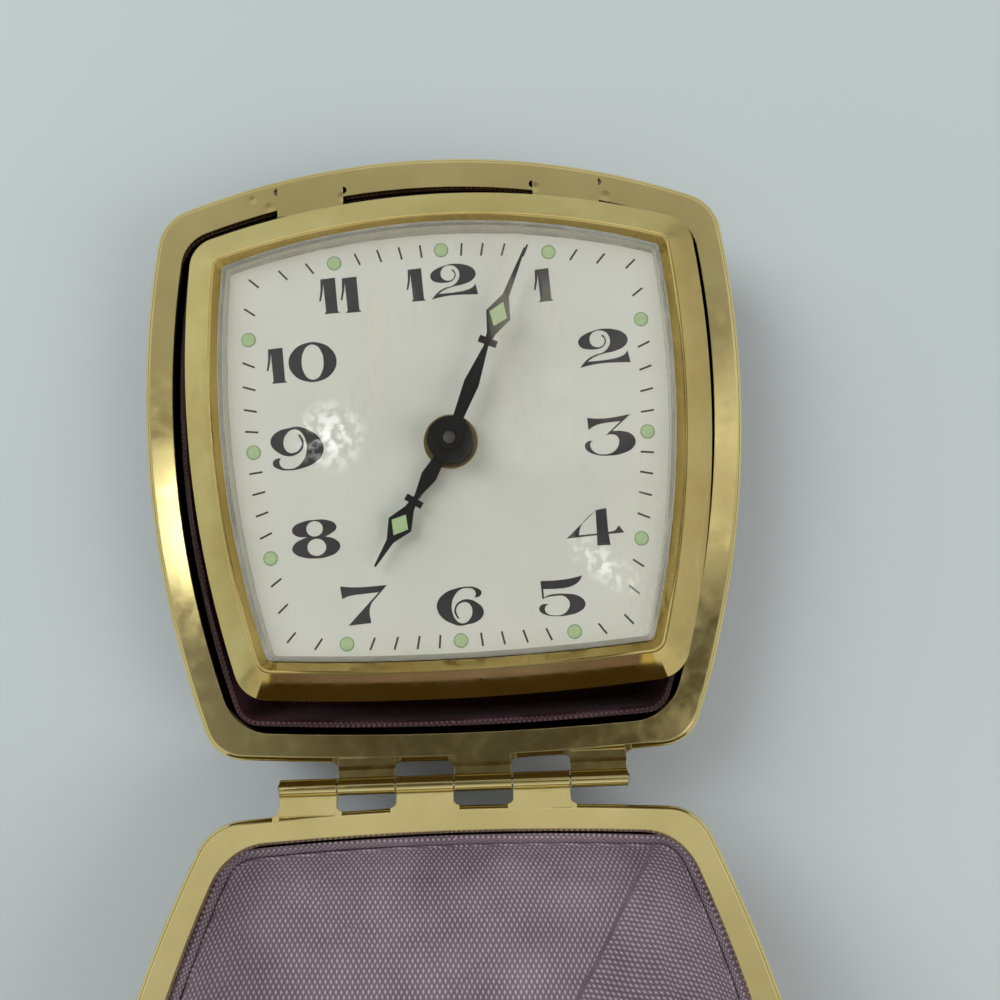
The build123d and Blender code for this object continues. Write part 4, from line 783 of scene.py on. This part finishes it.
def figureCurve(name):
    sheet = bpy.data.curves.new(name, "CURVE")
    sheet.dimensions = "2D"
    sheet.fill_mode = "BOTH"
    sheet.resolution_u = curveSteps
    sheet.extrude = printHeight * mm / 2
    for paths, middle, width in dialFigures.values():
        across = [point[0] for path in paths for point in path]
        down = [point[1] for path in paths for point in path]
        centre = ((min(across) + max(across)) / 2, (min(down) + max(down)) / 2)
        unit = width / (max(across) - min(across)) * mm
        for path in paths:
            spline = sheet.splines.new("BEZIER")
            spline.bezier_points.add(len(path) - 1)
            spline.use_cyclic_u = True
            for knot, point in zip(spline.bezier_points, path):
                knot.co = (middle[0] * mm + (point[0] - centre[0]) * unit,
                           middle[1] * mm - (point[1] - centre[1]) * unit, 0)
                kind = "VECTOR" if len(point) == 3 else "AUTO"
                knot.handle_left_type = knot.handle_right_type = kind
    return sheet


def meshOfCurve(sheet, name):
    holder = bpy.data.objects.new(name + "Draft", sheet)
    bpy.context.scene.collection.objects.link(holder)
    bpy.context.view_layer.update()
    mesh = bpy.data.meshes.new_from_object(holder.evaluated_get(bpy.context.evaluated_depsgraph_get()))
    bpy.data.objects.remove(holder)
    mesh.name = name
    return mesh


def onDial(piece):
    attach(piece, "clock")


figures = newPiece("hour_figures", meshOfCurve(figureCurve("hour_figures"), "hour_figures"),
                   clockPlace @ Matrix.Translation((0, 0, printHeight * mm)))
figures.data.materials.clear()
figures.data.materials.append(finishes["printInk"])
onDial(figures)

# Minute track: strokes and luminous dots on a bowed square
trackLook = {"half": 25.0, "top": 24.6, "bottom": 24.75, "widest": 8.0, "sideBow": 122.0, "topBow": 95.0,
             "bottomBow": 300.0, "stroke": 1.65, "width": 0.24, "dot": 0.8, "rim": 0.11,
             "sides": 28, "dotSharp": 60}


def trackReach(angle):
    # distance from the middle of the dial to the track, clockwise from twelve
    way = Vector((math.sin(angle), math.cos(angle)))
    across = trackLook["sideBow"] - trackLook["half"]
    bows = [((-across, trackLook["widest"]), trackLook["sideBow"]),
            ((across, trackLook["widest"]), trackLook["sideBow"]),
            ((0, trackLook["top"] - trackLook["topBow"]), trackLook["topBow"]),
            ((0, trackLook["bottomBow"] - trackLook["bottom"]), trackLook["bottomBow"])]
    found = []
    for centre, radius in bows:
        centre = Vector(centre)
        along = way.dot(centre)
        found.append(along + math.sqrt(along ** 2 + radius ** 2 - centre.length_squared))
    return min(found)


def strokesMesh(name):
    form = bmesh.new()
    wide, long = trackLook["width"] / 2, trackLook["stroke"] / 2
    for minute in range(60):
        if minute % 5 == 0:
            continue
        angle = math.radians(6 * minute)
        reach = trackReach(angle)
        turn = Matrix.Rotation(-angle, 2)
        corners = [(-wide, reach - long), (wide, reach - long), (wide, reach + long), (-wide, reach + long)]
        addPrism(form, [turn @ Vector(corner) for corner in corners], 0, printHeight)
    return meshOfForm(name, form)


def dotsMesh(name, profile):
    # one small turned form at each hour, from rings of radius and height
    form = bmesh.new()
    sides = trackLook["sides"]
    turns = [2 * math.pi * side / sides for side in range(sides)]
    for hour in range(12):
        angle = math.radians(30 * hour)
        centre = Vector((math.sin(angle), math.cos(angle), 0)) * trackReach(angle)
        rings = []
        for radius, height in profile:
            spots = [(radius * math.cos(turn), radius * math.sin(turn), height) for turn in turns]
            if radius == 0:
                spots = [(0, 0, height)]
            rings.append([form.verts.new((centre + Vector(spot)) * mm) for spot in spots])
        for lower, upper in zip(rings, rings[1:]):
            for side in range(sides):
                after = (side + 1) % sides
                if len(upper) == 1:
                    form.faces.new((lower[side], lower[after], upper[0]))
                else:
                    form.faces.new((lower[side], lower[after], upper[after], upper[side]))
    mesh = meshOfForm(name, form)
    smoothFaces(mesh, trackLook["dotSharp"])
    return mesh


strokes = newPiece("minute_strokes", strokesMesh("minute_strokes"), clockPlace)
strokes.data.materials.append(finishes["printInk"])
onDial(strokes)
dotSize, rimSize = trackLook["dot"], trackLook["dot"] + trackLook["rim"]
dotForms = {
    "hour_dots": ("lume", [(dotSize, 0.0), (dotSize, 0.05), (dotSize * 0.9, 0.09), (dotSize * 0.55, 0.12),
                           (0, 0.13)]),
    "hour_dot_edges": ("lumeEdge", [(rimSize, 0.0), (rimSize, 0.02), (dotSize * 0.98, 0.05)]),
}
for dotName, (dotFinish, dotProfile) in dotForms.items():
    dots = newPiece(dotName, dotsMesh(dotName, dotProfile), clockPlace)
    dots.data.materials.append(finishes[dotFinish])
    onDial(dots)
print("dial printed")

# Stage: pale floor, soft studio light and the camera
floorLook = {"reach": 3, "drop": -0.2, "toneScale": 6.0, "dark": (0.57, 0.635, 0.655),
             "light": (0.61, 0.675, 0.695), "rough": 0.75}


def sheetMesh(name, wide, high):
    mesh = bpy.data.meshes.new(name)
    corners = [(-wide, -high, 0), (wide, -high, 0), (wide, high, 0), (-wide, high, 0)]
    mesh.from_pydata(corners, [], [(0, 1, 2, 3)])
    return mesh


floor = newPiece("floor", sheetMesh("floor", floorLook["reach"], floorLook["reach"]),
                 Matrix.Translation((0, 0, floorLook["drop"] * mm)))
floorMaterial, floorTree, floorShader = startMaterial("paleCard")
paintBy(floorTree, floorShader, noiseAt(floorTree, floorLook["toneScale"], detail=2.0),
        [(0.3, floorLook["dark"]), (0.7, floorLook["light"])])
setInputs(floorShader, Roughness=floorLook["rough"])
floor.data.materials.append(floorMaterial)

# the room by height, from the horizon at 0 to straight above at 1
roomLook = {"strength": 0.56,
            "tones": [(0.0, (0.7, 0.72, 0.74)), (0.12, (1.25, 1.26, 1.24)), (0.26, (1.4, 1.4, 1.36)),
                      (0.36, (0.3, 0.29, 0.26)), (0.52, (0.36, 0.35, 0.32)), (0.62, (1.35, 1.35, 1.3)),
                      (0.8, (0.95, 0.95, 0.92)), (0.92, (0.62, 0.61, 0.57)), (0.985, (0.13, 0.12, 0.1))]}
room = bpy.data.worlds.new("studio")
room.use_nodes = True
bpy.context.scene.world = room
roomTree = room.node_tree
roomSpot = addNode(roomTree, "TexCoord")
roomHeight = addNode(roomTree, "SeparateXYZ")
roomTree.links.new(roomSpot.outputs["Generated"], roomHeight.inputs[0])
roomGlow = roomTree.nodes["Background"]
roomTree.links.new(rampOf(roomTree, roomHeight.outputs["Z"], roomLook["tones"]), roomGlow.inputs["Color"])
setInputs(roomGlow, Strength=roomLook["strength"])


def softLight(name, place, size, power, tone):
    # a large window of light, kept out of mirror reflections, which the cards below make
    light = bpy.data.lights.new(name, "AREA")
    light.shape = "RECTANGLE"
    light.size, light.size_y = size
    light.energy = power
    light.color = tone
    lamp = newPiece(name, light)
    lamp.location = place
    lamp.rotation_euler = (-Vector(place)).to_track_quat("-Z", "Y").to_euler()
    lamp.visible_glossy = lamp.visible_transmission = False


softLight("windowLight", (-0.55, 0.35, 0.6), (0.5, 0.7), 3.9, (0.97, 0.99, 1.0))
softLight("fillLight", (0.6, -0.3, 0.55), (0.4, 0.6), 2.1, (1.0, 0.98, 0.95))


def mirrorCard(name, look):
    # a card that only mirror reflections show, mottled, and fading from its core to its edge
    wide, high = look["size"][0] / 2, look["size"][1] / 2
    card = newPiece(name, sheetMesh(name, wide, high))
    card.location = look["place"]
    aim = Vector(look.get("aim", (0, 0, 0))) - Vector(look["place"])
    card.rotation_euler = aim.to_track_quat("Z", "Y").to_euler()
    material, tree, shader = startMaterial(name)
    glow = addNode(tree, "Emission", Color=(*look["tone"], 1), Strength=look["strength"])
    clear = addNode(tree, "BsdfTransparent")
    spot = addNode(tree, "TexCoord")
    shape = addNode(tree, "Mapping", Scale=(1 / wide, 1 / high, 1))
    tree.links.new(spot.outputs["Object"], shape.inputs["Vector"])
    away = addNode(tree, "VectorMath", operation="LENGTH")
    tree.links.new(shape.outputs["Vector"], away.inputs[0])
    fade = rangeOf(tree, away.outputs["Value"], 1.0, 0.0, *look["fade"])
    mottle = rangeOf(tree, noiseAt(tree, look["mottleScale"], detail=3.0), look["mottleLow"], 1.0,
                     *look["mottleSpan"])
    cover = mixedShaders(tree, joinedBy(tree, "MULTIPLY", fade, mottle), clear.outputs[0], glow.outputs[0])
    tree.links.new(cover, tree.nodes["Material Output"].inputs["Surface"])
    card.data.materials.append(material)
    card.visible_camera = card.visible_diffuse = card.visible_shadow = card.visible_transmission = False


rightCard = {"place": (0.27, 0.14, 0.9), "size": (0.26, 0.8), "tone": (1.0, 0.98, 0.92), "strength": 1.0,
             "fade": (0.6, 1.0), "mottleScale": 14, "mottleLow": 0.4, "mottleSpan": (0.45, 0.58)}
leftCard = dict(rightCard, place=(-0.20, 0.055, 0.6), size=(0.12, 0.12), tone=(1.0, 1.0, 1.0), strength=14.0,
                fade=(0.1, 1.0), mottleScale=60, mottleLow=0.0)
lowCard = dict(leftCard, place=(0.20, -0.15, 0.6), size=(0.06, 0.16), strength=10.0)
# painted dark reflection: dark and whole, standing on the rear rim by the hinge, seen only in mirror
# reflections
darkReflectionCard = dict(rightCard, place=(0.001, -0.0396, 0.0179), aim=(0.001, 0, 0.0179), size=(0.062, 0.0034),
                tone=(0.05, 0.033, 0.011), fade=(1.5, 1.6), mottleLow=1.0)
for cardName, cardLook in (("rightCard", rightCard), ("leftCard", leftCard), ("lowCard", lowCard),
                           ("darkReflectionCard", darkReflectionCard)):
    mirrorCard(cardName, cardLook)

# the camera in millimetres and degrees, with its focal length as a share of the picture's width
cameraLook = {"place": (6.48, -21.81, 138.35), "turn": (7.1325, 0.0614, -1.9748), "focalShare": 0.963,
              "sensor": 36, "clip": 5}
camera = newPiece("camera", bpy.data.cameras.new("camera"))
camera.data.sensor_width = cameraLook["sensor"]
camera.data.lens = cameraLook["focalShare"] * cameraLook["sensor"]
camera.data.clip_start = cameraLook["clip"] * mm
camera.location = Vector(cameraLook["place"]) * mm
camera.rotation_euler = [math.radians(angle) for angle in cameraLook["turn"]]
bpy.context.scene.camera = camera
bpy.context.scene.view_settings.view_transform = "Standard"
print("stage set")
